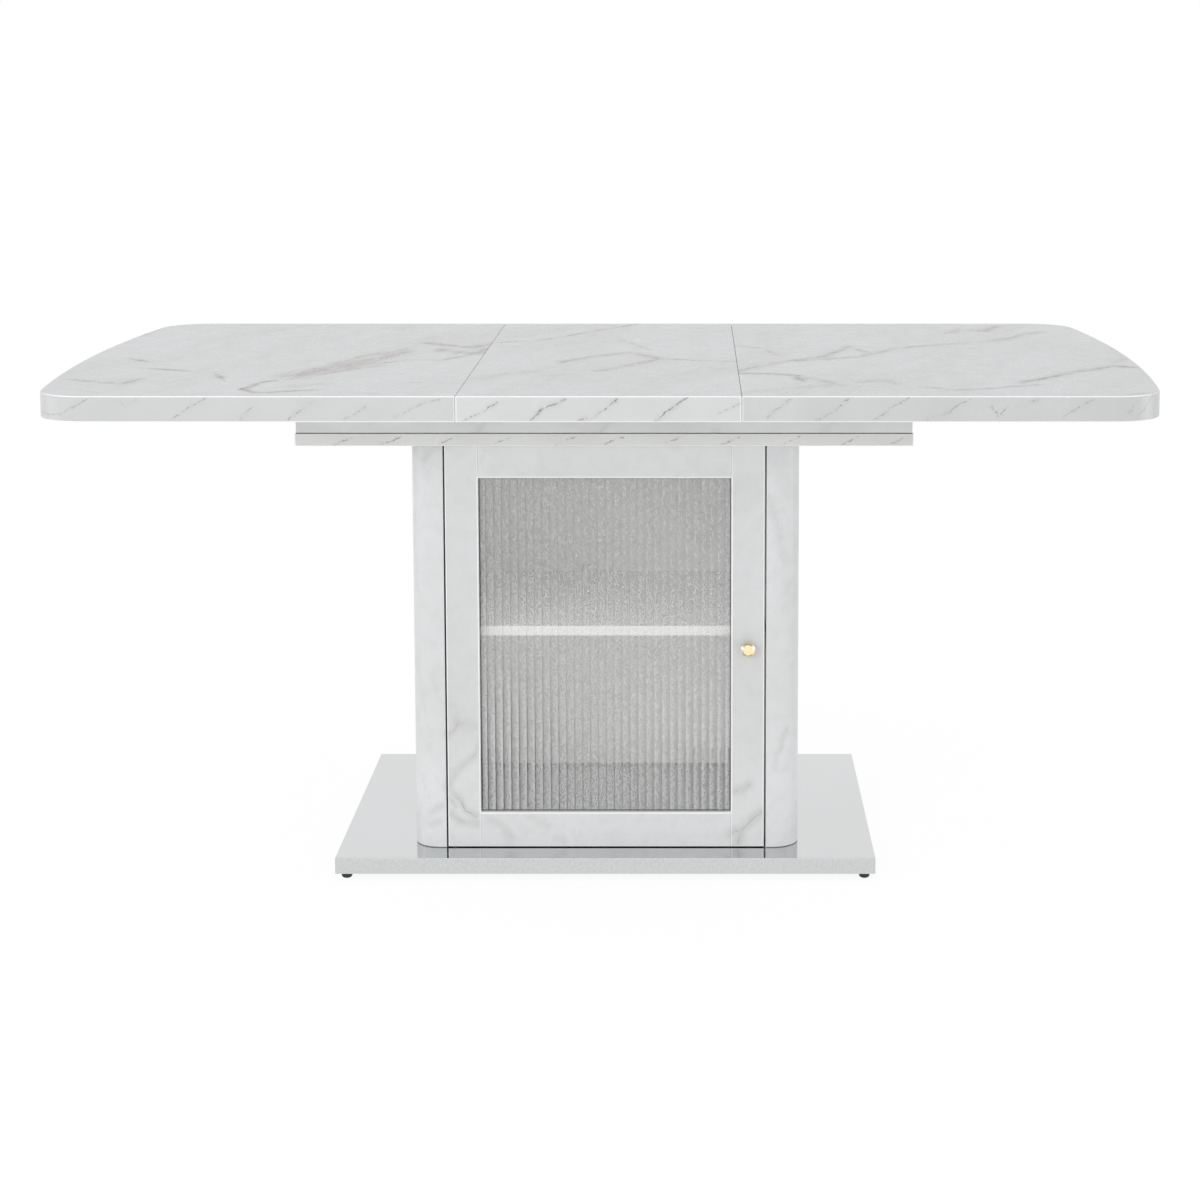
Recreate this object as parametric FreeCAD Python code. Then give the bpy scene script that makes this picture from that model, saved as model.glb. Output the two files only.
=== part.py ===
import FreeCAD, Part
import math
import os

# Extending dining table on a cabinet pedestal, in millimetres.
# Origin on the floor under the middle of the table; +X along its length, -Y to the cabinet door, +Z up.

Vector = FreeCAD.Vector
UP = Vector(0, 0, 1)
DOWN = Vector(0, 0, -1)

# Table top
table_height = 750.0
table_length = 1608.0           # over the bowed ends, with the leaf in
table_width = 900.0
top_thickness = 36.0
leaf_length = 393.0
seam_gap = 0.6
end_bow_radius = 3360.0
corner_radius = 74.0
edge_band = 2.0
edge_round = 1.5
seam_round = 0.5
strip_round = 1.5               # upright corners of the edge strips at the seams

# Frame under the top
frame_length = 904.0
frame_depth = 484.0
frame_setback = 1.5             # frame rails stand this far inside the board's edge
rail_thickness = 18.0
rail_height = 48.0
rail_groove_height = 1.2        # shadow line along the bottom of the rails
rail_groove_depth = 3.0
board_thickness = 18.0
board_round = 1.0
pad_thickness = 1.0
pad_length = 30.0
pad_side_margin = 3.0
leaf_pad_inset = 50.0           # from the seam
frame_pad_inset = 15.0          # from the frame's end
end_rail_clearance = 6.0

# Telescopic slides: a lipped channel on the frame holds a hat-section rail on the top
slide_height = 27.0
slide_depth = 11.0
slide_sheet = 1.5
slide_lip = 4.0
slide_clearance = 0.3
slide_web_height = 14.0
slide_neck = 2.0                # the rail's web stands this far out of the channel
slide_top_clearance = 3.5       # channel below the top of its frame rail
slide_end_clearance = 15.0
slide_centre_clearance = 45.0
runner_thickness = 20.0
runner_height = 32.0
batten_thickness = 18.0
batten_height = 20.0
batten_clearance = 0.5
batten_end_clearance = 10.0

# Pedestal cabinet
pedestal_width = 576.0
pedestal_depth = 436.0
pedestal_corner_radius = 38.0
side_width = 49.3               # each side as seen from the front
side_wall = 18.0
lining_thickness = 18.0
back_thickness = 18.0
panel_round = 1.0
shelf_thickness = 15.0
shelf_height = 316.0            # underside of the shelf above the base
shelf_setback = 35.0            # shelf front behind the door front
shelf_clearance = 1.0
shelf_pin_radius = 2.5
shelf_pin_reach = 8.0
shelf_pin_depth = 9.0
shelf_pin_inset = 50.0

# Base plate
base_length = 800.0
base_depth = 532.0
base_thickness = 24.0
shell_sheet = 1.0
shell_round = 0.8
foot_height = 10.0
foot_radius = 8.0
foot_round = 4.0
foot_stem_radius = 3.0
foot_stem_length = 12.0
foot_inset = 15.5

# Door
door_thickness = 20.0
hinge_gap = 2.0
latch_gap = 2.8
door_bottom_gap = 1.2
door_top_gap = 2.0
stile_width = 49.5
top_rail_height = 50.0
bottom_rail_height = 53.0
door_round = 1.8
rebate_width = 7.0
rebate_front = 8.0              # frame left in front of the glass
glass_clearance = 0.3
glass_side_clearance = 0.5
glass_web = 3.6                 # glass left between the flutes
flute_height = 1.0
flute_count = 32
flute_margin = 4.0              # plain glass beside the outer flutes
dowel_radius = 4.0
dowel_length = 36.0
dowel_inset = 14.0

# Door pivots, knob and catch
pivot_from_edge = 10.0
pivot_from_front = 6.0
pivot_radius = 2.5
pivot_fit = 0.05
pivot_depth = 25.0              # pin length inside the stile
pivot_reach = 8.0               # pin length past the bush's flange
bush_radius = 4.5
bush_length = 10.0
bush_flange_radius = 5.6
lower_flange = 0.6
upper_flange = 1.0
knob_height = 307.0             # above the base
knob_radius = 10.5
knob_face_radius = 7.25
knob_foot_radius = 5.0
knob_neck_radius = 3.6
knob_length = 20.0
knob_head_length = 9.0
knob_foot_length = 3.0
knob_screw_depth = 12.0
strike_length = 36.0
strike_height = 12.0
strike_sheet = 1.5
catch_length = 44.0
catch_height = 14.0
catch_depth = 15.0
catch_clearance = 0.3
catch_inset = 8.0               # from the cabinet's lining

# Corner brackets
bracket_width = 40.0
bracket_leg = 30.0
bracket_sheet = 2.0
bracket_inset = 40.0            # from the cabinet's lining
bracket_hole_spacing = 22.0
bracket_hole_height = 18.0

# Screws: head radius, head height, shank radius, shank length
panel_bolt = (6.5, 5.0, 3.0, 60.0)
board_screw = (4.8, 3.5, 2.4, 34.0)
runner_screw = (4.2, 3.0, 2.0, 52.0)
small_screw = (3.6, 1.6, 1.8, 12.0)
batten_screw = (4.2, 3.0, 2.0, 38.0)
knob_screw_size = (4.0, 2.4, 2.0)
screw_clearance = 0.3
bolt_spacing = 240.0            # front to back in each side, and across the back panel
rail_screw_inset = 55.0         # from the frame's end
rail_screw_middle = 150.0
end_rail_screw_inset = 66.0     # from the end rail's end
channel_screw_inset = 40.0
runner_screw_inset = 45.0
batten_screw_inset = 15.0

# Levels and places worked out from the sizes above
base_bottom = foot_height
base_top = base_bottom + base_thickness
top_underside = table_height - top_thickness
rail_top = top_underside - pad_thickness
rail_bottom = rail_top - rail_height
board_bottom = rail_bottom - board_thickness
slide_middle = rail_top - slide_top_clearance - slide_height / 2

seam_x = leaf_length / 2 + seam_gap
top_half_width = table_width / 2
board_half_length = frame_length / 2
board_half_depth = frame_depth / 2
frame_half_length = board_half_length - frame_setback
frame_half_depth = board_half_depth - frame_setback
rail_inner = frame_half_depth - rail_thickness
slide_web_outer = slide_depth + slide_neck
runner_outer = rail_inner - slide_web_outer
runner_inner = runner_outer - runner_thickness
end_rail_half = runner_inner - end_rail_clearance
channel_start = slide_centre_clearance
channel_end = frame_half_length - slide_end_clearance
slide_shift = leaf_length / 2

pedestal_half_width = pedestal_width / 2
opening_half = pedestal_half_width - side_width
front_y = -pedestal_depth / 2
rear_y = pedestal_depth / 2
door_back_y = front_y + door_thickness
back_inner_y = rear_y - back_thickness
shelf_bottom = base_top + shelf_height
shelf_top = shelf_bottom + shelf_thickness

door_left = -opening_half + hinge_gap
door_right = opening_half - latch_gap
door_bottom = base_top + door_bottom_gap
door_top = board_bottom - door_top_gap
glass_left = door_left + stile_width
glass_right = door_right - stile_width
glass_bottom = door_bottom + bottom_rail_height
glass_top = door_top - top_rail_height
rebate_y = front_y + rebate_front
glass_back_y = rebate_y + glass_clearance + flute_height + glass_web
pivot_x = door_left + pivot_from_edge
pivot_y = front_y + pivot_from_front
knob_x = door_right - stile_width / 2
knob_z = base_top + knob_height

parts = {}


def block(x0, x1, y0, y1, z0, z1):
    """Box between two corners."""
    return Part.makeBox(x1 - x0, y1 - y0, z1 - z0, Vector(x0, y0, z0))


def rod(radius, start, end):
    """Cylinder between two points."""
    return Part.makeCylinder(radius, (end - start).Length, start, end - start)


def in_x(shape, side):
    """The shape as drawn for +X, or its mirror image for -X."""
    return shape if side > 0 else shape.mirror(Vector(0, 0, 0), Vector(1, 0, 0))


def in_y(shape, side):
    """The shape as drawn for +Y, or its mirror image for -Y."""
    return shape if side > 0 else shape.mirror(Vector(0, 0, 0), Vector(0, 1, 0))


def rounded(shape, radius, chosen):
    """Round the edges whose middle point passes the test."""
    edges = []
    for edge in shape.Edges:
        middle = edge.valueAt((edge.FirstParameter + edge.LastParameter) / 2)
        if chosen(edge, middle):
            edges.append(edge)
    return shape.makeFillet(radius, edges)


def near(a, b):
    return abs(a - b) < 1e-4


def is_upright(edge):
    return near(edge.BoundBox.XLength, 0) and near(edge.BoundBox.YLength, 0)


def screw(seat, into, size):
    """Screw whose head bears on the seat point and whose shank goes into the work."""
    head_radius, head_height, shank_radius, length = size
    head = rod(head_radius, seat - into * head_height, seat)
    shank = rod(shank_radius, seat, seat + into * length)
    return head.fuse(shank).removeSplitter()


def screw_hole(seat, into, size):
    """Room for a screw: a shank hole, and a pocket that lets the head sit level."""
    head_radius, head_height, shank_radius, length = size
    pocket = rod(head_radius + screw_clearance, seat - into * head_height, seat)
    hole = rod(shank_radius + screw_clearance, seat, seat + into * (length + screw_clearance))
    return pocket.fuse(hole)


def fasten(names, seats, into, size):
    """Drill the named parts for one row of screws and return the screws."""
    for name in names:
        for seat in seats:
            parts[name] = parts[name].cut(screw_hole(seat, into, size))
    return [screw(seat, into, size) for seat in seats]


def is_strip_end(edge, p, end_x):
    """The upright outer corner where an edge strip stops at a seam."""
    return is_upright(edge) and near(abs(p.x), end_x) and near(abs(p.y), top_half_width)


def top_outline(inset):
    """Plan outline of the right half of the top, from the seam round the bowed end."""
    half_width = top_half_width - inset
    bow_centre = table_length / 2 - end_bow_radius
    corner_y = top_half_width - corner_radius
    corner_x = bow_centre + math.sqrt((end_bow_radius - corner_radius) ** 2 - corner_y ** 2)
    turn = math.atan2(corner_y, corner_x - bow_centre)
    small = corner_radius - inset

    def corner_point(angle, side):
        return Vector(corner_x + small * math.cos(angle), side * (corner_y + small * math.sin(angle)), 0)

    halfway = (turn + math.pi / 2) / 2
    end_middle = Vector(table_length / 2 - inset, 0, 0)
    seam_low = Vector(seam_x, -half_width, 0)
    seam_high = Vector(seam_x, half_width, 0)
    low_start, low_end = corner_point(math.pi / 2, -1), corner_point(turn, -1)
    high_start, high_end = corner_point(turn, 1), corner_point(math.pi / 2, 1)
    edges = [
        Part.LineSegment(seam_low, low_start),
        Part.Arc(low_start, corner_point(halfway, -1), low_end),
        Part.Arc(low_end, end_middle, high_start),
        Part.Arc(high_start, corner_point(halfway, 1), high_end),
        Part.LineSegment(high_end, seam_high),
        Part.LineSegment(seam_high, seam_low),
    ]
    return Part.Wire([edge.toShape() for edge in edges])


def top_solid(inset):
    """Right half of the top at its height, drawn in from its outline by the inset."""
    face = Part.Face(top_outline(inset))
    face.translate(Vector(0, 0, top_underside))
    return face.extrude(UP * top_thickness)


def make_top_half(side, name):
    """Sliding half of the top: panel, edge strip, runners and slide rails."""
    whole = top_solid(0)
    whole = rounded(whole, edge_round, lambda edge, p: not is_upright(edge) and not near(p.x, seam_x))
    core = top_solid(edge_band)
    panel = whole.common(core)
    panel = rounded(panel, seam_round, lambda edge, p: near(p.x, seam_x) and near(p.z, table_height))
    strip = rounded(whole.cut(core), strip_round, lambda edge, p: is_strip_end(edge, p, seam_x))
    parts[name + "_top_panel"] = in_x(panel, side)
    parts[name + "_top_edge"] = in_x(strip, side)

    runner = block(channel_start + slide_shift, channel_end + slide_shift, runner_inner, runner_outer,
                   top_underside - runner_height, top_underside)
    runner_names = []
    for depth_side, depth_name in ((-1, "front"), (1, "back")):
        runner_name = name + "_" + depth_name + "_runner"
        slide_name = name + "_" + depth_name + "_slide"
        parts[runner_name] = in_x(in_y(runner, depth_side), side)
        parts[slide_name] = in_x(in_y(slide_rail(), depth_side), side)
        runner_names.append(runner_name)

    screws = []
    seat_z = top_underside - runner_height + runner_screw[1]
    runner_middle = (runner_inner + runner_outer) / 2
    for depth_side, runner_name in zip((-1, 1), runner_names):
        seats = []
        for x in (channel_start + runner_screw_inset, channel_end - runner_screw_inset):
            seats.append(Vector(side * (x + slide_shift), depth_side * runner_middle, seat_z))
        screws += fasten([runner_name, name + "_top_panel"], seats, UP, runner_screw)

        web_inner = rail_inner - slide_web_outer + slide_sheet
        seats = []
        for x in (channel_start + channel_screw_inset, channel_end - channel_screw_inset):
            seats.append(Vector(side * (x + slide_shift), depth_side * web_inner, slide_middle))
        slide_name = runner_name.replace("runner", "slide")
        screws += fasten([slide_name, runner_name], seats, Vector(0, -depth_side, 0), small_screw)
    parts[name + "_top_screws"] = Part.makeCompound(screws)


def section_prism(outline, x0, x1):
    """Solid along X from a closed outline of (Y, Z) points."""
    points = [Vector(x0, y, z) for y, z in outline]
    face = Part.Face(Part.makePolygon(points + points[:1]))
    return face.extrude(Vector(x1 - x0, 0, 0))


def slide_channel():
    """Lipped channel on the inner face of a frame rail, drawn for +X and +Y."""
    lip_y = rail_inner - slide_depth
    low = slide_middle - slide_height / 2
    high = slide_middle + slide_height / 2
    body = block(channel_start, channel_end, lip_y, rail_inner, low, high)
    inside = block(channel_start, channel_end, lip_y + slide_sheet, rail_inner - slide_sheet,
                   low + slide_sheet, high - slide_sheet)
    mouth = block(channel_start, channel_end, lip_y, lip_y + slide_sheet, low + slide_lip, high - slide_lip)
    return body.cut(inside).cut(mouth)


def slide_rail():
    """Hat-section rail that runs behind the channel's lips, at its rest place for +X and +Y."""
    flange_y = rail_inner - slide_depth + slide_sheet + slide_clearance
    flange_half = slide_height / 2 - slide_sheet - slide_clearance
    web_half = slide_web_height / 2
    web_y = rail_inner - slide_web_outer
    upper = [
        (web_y, web_half),
        (flange_y, web_half),
        (flange_y, flange_half),
        (flange_y + slide_sheet, flange_half),
        (flange_y + slide_sheet, web_half - slide_sheet),
        (web_y + slide_sheet, web_half - slide_sheet),
    ]
    lower = [(y, -z) for y, z in reversed(upper)]
    outline = [(y, slide_middle + z) for y, z in upper + lower]
    return section_prism(outline, channel_start + slide_shift, channel_end + slide_shift)


def make_leaf():
    """Loose middle leaf: panel, two edge strips and the battens that locate it in the frame."""
    half = leaf_length / 2
    whole = block(-half, half, -top_half_width, top_half_width, top_underside, table_height)
    whole = rounded(whole, edge_round, lambda edge, p: near(p.x, 0))
    core = block(-half, half, edge_band - top_half_width, top_half_width - edge_band,
                 top_underside, table_height)
    panel = rounded(whole.common(core), seam_round,
                    lambda edge, p: near(abs(p.x), half) and near(p.z, table_height))
    parts["leaf_panel"] = panel
    parts["leaf_edges"] = rounded(whole.cut(core), strip_round, lambda edge, p: is_strip_end(edge, p, half))

    reach = channel_start - batten_end_clearance
    outer = rail_inner - batten_clearance
    batten = block(-reach, reach, outer - batten_thickness, outer,
                   top_underside - batten_height, top_underside)
    parts["leaf_battens"] = Part.makeCompound([in_y(batten, -1), in_y(batten, 1)])
    seats = []
    seat_z = top_underside - batten_height + batten_screw[1]
    for depth_side in (-1, 1):
        for x in (batten_screw_inset - reach, reach - batten_screw_inset):
            seats.append(Vector(x, depth_side * (outer - batten_thickness / 2), seat_z))
    parts["leaf_screws"] = Part.makeCompound(fasten(["leaf_battens", "leaf_panel"], seats, UP, batten_screw))


def make_frame():
    """Board on the pedestal, the four rails on it, the slide channels and the felt pads."""
    board = block(-board_half_length, board_half_length, -board_half_depth, board_half_depth,
                  board_bottom, rail_bottom)
    parts["support_board"] = rounded(board, board_round, lambda edge, p: True)
    rail = block(-frame_half_length, frame_half_length, rail_inner, frame_half_depth, rail_bottom, rail_top)
    end_rail = block(frame_half_length - rail_thickness, frame_half_length, -end_rail_half, end_rail_half,
                     rail_bottom, rail_top)
    groove_top = rail_bottom + rail_groove_height
    rail = rail.cut(block(-frame_half_length, frame_half_length, frame_half_depth - rail_groove_depth,
                          frame_half_depth, rail_bottom, groove_top))
    end_rail = end_rail.cut(block(frame_half_length - rail_groove_depth, frame_half_length,
                                  -end_rail_half, end_rail_half, rail_bottom, groove_top))
    for side, name in ((-1, "front"), (1, "back")):
        parts[name + "_frame_rail"] = in_y(rail, side)
    for side, name in ((-1, "left"), (1, "right")):
        parts[name + "_end_rail"] = in_x(end_rail, side)

    pads = []
    pad_outer = frame_half_depth - pad_side_margin
    pad_inner = rail_inner + pad_side_margin
    for middle in (leaf_length / 2 - leaf_pad_inset, frame_half_length - frame_pad_inset - pad_length / 2):
        pad = block(middle - pad_length / 2, middle + pad_length / 2, pad_inner, pad_outer,
                    rail_top, top_underside)
        for side in (-1, 1):
            pads += [in_y(in_x(pad, side), -1), in_x(pad, side)]
    parts["frame_pads"] = Part.makeCompound(pads)

    screws = []
    for side, name in ((-1, "left"), (1, "right")):
        for depth_side, depth_name in ((-1, "front"), (1, "back")):
            channel_name = name + "_" + depth_name + "_channel"
            parts[channel_name] = in_x(in_y(slide_channel(), depth_side), side)
            seats = []
            for x in (channel_start + channel_screw_inset, channel_end - channel_screw_inset):
                seats.append(Vector(side * x, depth_side * (rail_inner - slide_sheet), slide_middle))
            into = Vector(0, depth_side, 0)
            screws += fasten([channel_name, depth_name + "_frame_rail"], seats, into, small_screw)
    parts["channel_screws"] = Part.makeCompound(screws)


def make_side(side, name):
    """Hollow pedestal side with rounded outer corners, and the lining that closes it."""
    radius = pedestal_corner_radius
    outer = block(opening_half, pedestal_half_width, front_y, rear_y, base_top, board_bottom)
    outer = rounded(outer, radius, lambda edge, p: is_upright(edge) and near(p.x, pedestal_half_width))
    outer = rounded(outer, panel_round,
                    lambda edge, p: is_upright(edge) and near(p.x, opening_half) and near(p.y, front_y))
    hollow = block(opening_half, pedestal_half_width - side_wall, door_back_y, back_inner_y,
                   base_top, board_bottom)
    parts[name + "_side_panel"] = in_x(outer.cut(hollow), side)
    lining = block(opening_half, opening_half + lining_thickness, door_back_y, back_inner_y,
                   base_top, board_bottom)
    parts[name + "_lining_panel"] = in_x(lining, side)


def make_cabinet():
    """Pedestal sides, back panel, and the shelf on its pins."""
    make_side(-1, "left")
    make_side(1, "right")
    parts["back_panel"] = block(-opening_half, opening_half, back_inner_y, rear_y, base_top, board_bottom)
    shelf_front = front_y + shelf_setback
    shelf_back = back_inner_y - shelf_clearance
    shelf_half = opening_half - shelf_clearance
    shelf = block(-shelf_half, shelf_half, shelf_front, shelf_back, shelf_bottom, shelf_top)
    parts["shelf"] = rounded(shelf, panel_round, lambda edge, p: near(p.y, shelf_front) and near(p.x, 0))

    pins = []
    pin_z = shelf_bottom - shelf_pin_radius
    for side, name in ((-1, "left"), (1, "right")):
        for y in (shelf_front + shelf_pin_inset, shelf_back - shelf_pin_inset):
            inner = Vector(side * (opening_half - shelf_pin_reach), y, pin_z)
            outer = Vector(side * (opening_half + shelf_pin_depth), y, pin_z)
            pins.append(rod(shelf_pin_radius, inner, outer))
            hole = rod(shelf_pin_radius + pivot_fit, inner, outer)
            parts[name + "_lining_panel"] = parts[name + "_lining_panel"].cut(hole)
    parts["shelf_pins"] = Part.makeCompound(pins)


def make_base():
    """Weighted base: a core board under a folded steel shell, on four glides."""
    half_length = base_length / 2
    half_depth = base_depth / 2
    shell = block(-half_length, half_length, -half_depth, half_depth, base_bottom, base_top)
    shell = rounded(shell, shell_round, lambda edge, p: is_upright(edge) or near(p.z, base_top))
    core = block(shell_sheet - half_length, half_length - shell_sheet, shell_sheet - half_depth,
                 half_depth - shell_sheet, base_bottom, base_top - shell_sheet)
    parts["base_shell"] = shell.cut(core)
    parts["base_core"] = core

    feet = []
    for x in (foot_inset - half_length, half_length - foot_inset):
        for y in (foot_inset - half_depth, half_depth - foot_inset):
            pad = rod(foot_radius, Vector(x, y, 0), Vector(x, y, base_bottom))
            pad = rounded(pad, foot_round, lambda edge, p: near(p.z, 0))
            stem_top = Vector(x, y, base_bottom + foot_stem_length)
            stem = rod(foot_stem_radius, Vector(x, y, base_bottom), stem_top)
            feet.append(pad.fuse(stem))
            hole = rod(foot_stem_radius + screw_clearance, Vector(x, y, base_bottom),
                       stem_top + UP * screw_clearance)
            parts["base_core"] = parts["base_core"].cut(hole)
    parts["feet"] = Part.makeCompound(feet)


def panel_points(z):
    """Where the pedestal's walls are bolted down and screwed up, at one level."""
    wall_x = pedestal_half_width - side_wall / 2
    back_y = rear_y - back_thickness / 2
    points = []
    for side in (-1, 1):
        points += [Vector(side * wall_x, y, z) for y in (-bolt_spacing / 2, bolt_spacing / 2)]
        points.append(Vector(side * bolt_spacing / 2, back_y, z))
    return points


def fasten_pedestal():
    """Bolts up through the base, screws down through the board, and screws up into the frame."""
    walls = ["left_side_panel", "right_side_panel", "back_panel"]
    seats = panel_points(base_bottom + panel_bolt[1])
    bolts = fasten(["base_core", "base_shell"] + walls, seats, UP, panel_bolt)
    parts["base_bolts"] = Part.makeCompound(bolts)

    seats = panel_points(rail_bottom - board_screw[1])
    screws = fasten(["support_board"] + walls, seats, DOWN, board_screw)
    seat_z = board_bottom + board_screw[1]
    rail_y = (rail_inner + frame_half_depth) / 2
    for depth_side, name in ((-1, "front"), (1, "back")):
        places = []
        for x in (rail_screw_middle, frame_half_length - rail_screw_inset):
            places += [Vector(-x, depth_side * rail_y, seat_z), Vector(x, depth_side * rail_y, seat_z)]
        screws += fasten(["support_board", name + "_frame_rail"], places, UP, board_screw)
    end_x = frame_half_length - rail_thickness / 2
    for side, name in ((-1, "left"), (1, "right")):
        places = []
        for y in (end_rail_screw_inset - end_rail_half, end_rail_half - end_rail_screw_inset):
            places.append(Vector(side * end_x, y, seat_z))
        screws += fasten(["support_board", name + "_end_rail"], places, UP, board_screw)
    parts["board_screws"] = Part.makeCompound(screws)


def make_brackets():
    """Angle brackets that tie the back panel to the base inside the cabinet."""
    middle = opening_half - bracket_inset - bracket_width / 2
    brackets = []
    for side in (-1, 1):
        x0 = side * middle - bracket_width / 2
        x1 = side * middle + bracket_width / 2
        upright = block(x0, x1, back_inner_y - bracket_sheet, back_inner_y, base_top, base_top + bracket_leg)
        flat = block(x0, x1, back_inner_y - bracket_leg, back_inner_y, base_top, base_top + bracket_sheet)
        brackets.append(upright.fuse(flat).removeSplitter())
    parts["corner_brackets"] = Part.makeCompound(brackets)
    back_seats = []
    base_seats = []
    for side in (-1, 1):
        for offset in (-bracket_hole_spacing / 2, bracket_hole_spacing / 2):
            x = side * middle + offset
            back_seats.append(Vector(x, back_inner_y - bracket_sheet, base_top + bracket_hole_height))
            base_seats.append(Vector(x, back_inner_y - bracket_hole_height, base_top + bracket_sheet))
    screws = fasten(["corner_brackets", "back_panel"], back_seats, Vector(0, 1, 0), small_screw)
    screws += fasten(["corner_brackets", "base_shell", "base_core"], base_seats, DOWN, small_screw)
    parts["bracket_screws"] = Part.makeCompound(screws)


def flute_outline():
    """Plan outline of the reeded glass: flat behind, a row of round flutes in front, plain at the sides."""
    x0 = glass_left - rebate_width + glass_side_clearance
    x1 = glass_right + rebate_width - glass_side_clearance
    root_y = glass_back_y - glass_web
    first_x = x0 + flute_margin
    last_x = x1 - flute_margin
    pitch = (last_x - first_x) / flute_count
    edges = []
    for index in range(flute_count):
        start = Vector(first_x + pitch * index, root_y, 0)
        end = Vector(first_x + pitch * (index + 1), root_y, 0)
        crest = Vector(first_x + pitch * (index + 0.5), root_y - flute_height, 0)
        edges.append(Part.Arc(start, crest, end))
    corners = [
        Vector(last_x, root_y, 0),
        Vector(x1, root_y, 0),
        Vector(x1, glass_back_y, 0),
        Vector(x0, glass_back_y, 0),
        Vector(x0, root_y, 0),
        Vector(first_x, root_y, 0),
    ]
    for start, end in zip(corners, corners[1:]):
        edges.append(Part.LineSegment(start, end))
    return Part.Wire([edge.toShape() for edge in edges])


def make_door():
    """Flush door: frame, reeded glass held by beads, dowels in the frame's corners."""
    rebate = block(glass_left - rebate_width, glass_right + rebate_width, rebate_y, door_back_y,
                   glass_bottom - rebate_width, glass_top + rebate_width)

    def front_arris(edge, p):
        return near(p.y, front_y)

    def long_front_arris(edge, p):
        return near(p.y, front_y) and not is_upright(edge)

    members = {
        "door_left_stile": block(door_left, glass_left, front_y, door_back_y, door_bottom, door_top),
        "door_right_stile": block(glass_right, door_right, front_y, door_back_y, door_bottom, door_top),
    }
    for name, stile in members.items():
        parts[name] = rounded(stile, door_round, front_arris).cut(rebate)
    cross = {
        "door_top_rail": block(glass_left, glass_right, front_y, door_back_y, glass_top, door_top),
        "door_bottom_rail": block(glass_left, glass_right, front_y, door_back_y, door_bottom, glass_bottom),
    }
    for name, member in cross.items():
        parts[name] = rounded(member, door_round, long_front_arris).cut(rebate)

    glass = Part.Face(flute_outline())
    pane_bottom = glass_bottom - rebate_width + glass_side_clearance
    pane_top = glass_top + rebate_width - glass_side_clearance
    glass.translate(Vector(0, 0, pane_bottom))
    parts["door_glass"] = glass.extrude(UP * (pane_top - pane_bottom))

    left = glass_left - rebate_width
    right = glass_right + rebate_width
    low = glass_bottom - rebate_width
    high = glass_top + rebate_width
    parts["glazing_beads"] = Part.makeCompound([
        block(left, right, glass_back_y, door_back_y, low, glass_bottom),
        block(left, right, glass_back_y, door_back_y, glass_top, high),
        block(left, glass_left, glass_back_y, door_back_y, glass_bottom, glass_top),
        block(glass_right, right, glass_back_y, door_back_y, glass_bottom, glass_top),
    ])

    dowels = []
    dowel_y = (front_y + door_back_y) / 2
    rows = (("door_bottom_rail", door_bottom + dowel_inset), ("door_top_rail", door_top - dowel_inset))
    columns = (("door_left_stile", glass_left), ("door_right_stile", glass_right))
    for rail_name, z in rows:
        for stile_name, x in columns:
            start = Vector(x - dowel_length / 2, dowel_y, z)
            end = Vector(x + dowel_length / 2, dowel_y, z)
            dowels.append(rod(dowel_radius, start, end))
            hole = rod(dowel_radius + pivot_fit, start, end)
            parts[rail_name] = parts[rail_name].cut(hole)
            parts[stile_name] = parts[stile_name].cut(hole)
    parts["door_dowels"] = Part.makeCompound(dowels)


def make_pivots():
    """Pins in the hinge stile, and the flanged bushes they turn in."""
    def at(z):
        return Vector(pivot_x, pivot_y, z)

    lower_seat = base_top + lower_flange
    lower_pin = rod(pivot_radius, at(lower_seat - pivot_reach), at(door_bottom + pivot_depth))
    upper_seat = board_bottom - upper_flange
    upper_pin = rod(pivot_radius, at(door_top - pivot_depth), at(upper_seat + pivot_reach))
    parts["lower_pivot_pin"] = lower_pin
    parts["upper_pivot_pin"] = upper_pin
    bore = pivot_radius + pivot_fit
    for z0, z1 in ((door_bottom, door_bottom + pivot_depth), (door_top - pivot_depth, door_top)):
        parts["door_left_stile"] = parts["door_left_stile"].cut(rod(bore, at(z0), at(z1)))

    def bush(mouth, flange_edge, inner_end):
        body = rod(bush_radius, at(mouth), at(inner_end))
        flange = rod(bush_flange_radius, at(mouth), at(flange_edge))
        return body.fuse(flange).removeSplitter().cut(rod(bore, at(flange_edge), at(inner_end)))

    parts["lower_pivot_bush"] = bush(base_top, lower_seat, base_top - bush_length)
    parts["upper_pivot_bush"] = bush(board_bottom, upper_seat, board_bottom + bush_length)
    lower_hole = rod(bush_radius + pivot_fit, at(base_top - bush_length), at(base_top))
    upper_hole = rod(bush_radius + pivot_fit, at(board_bottom), at(board_bottom + bush_length))
    for name in ("base_shell", "base_core"):
        parts[name] = parts[name].cut(lower_hole)
    parts["support_board"] = parts["support_board"].cut(upper_hole)

    washer = rod(bush_flange_radius, at(lower_seat), at(door_bottom))
    parts["pivot_washer"] = washer.cut(rod(bore, at(lower_seat), at(door_bottom)))


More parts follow.
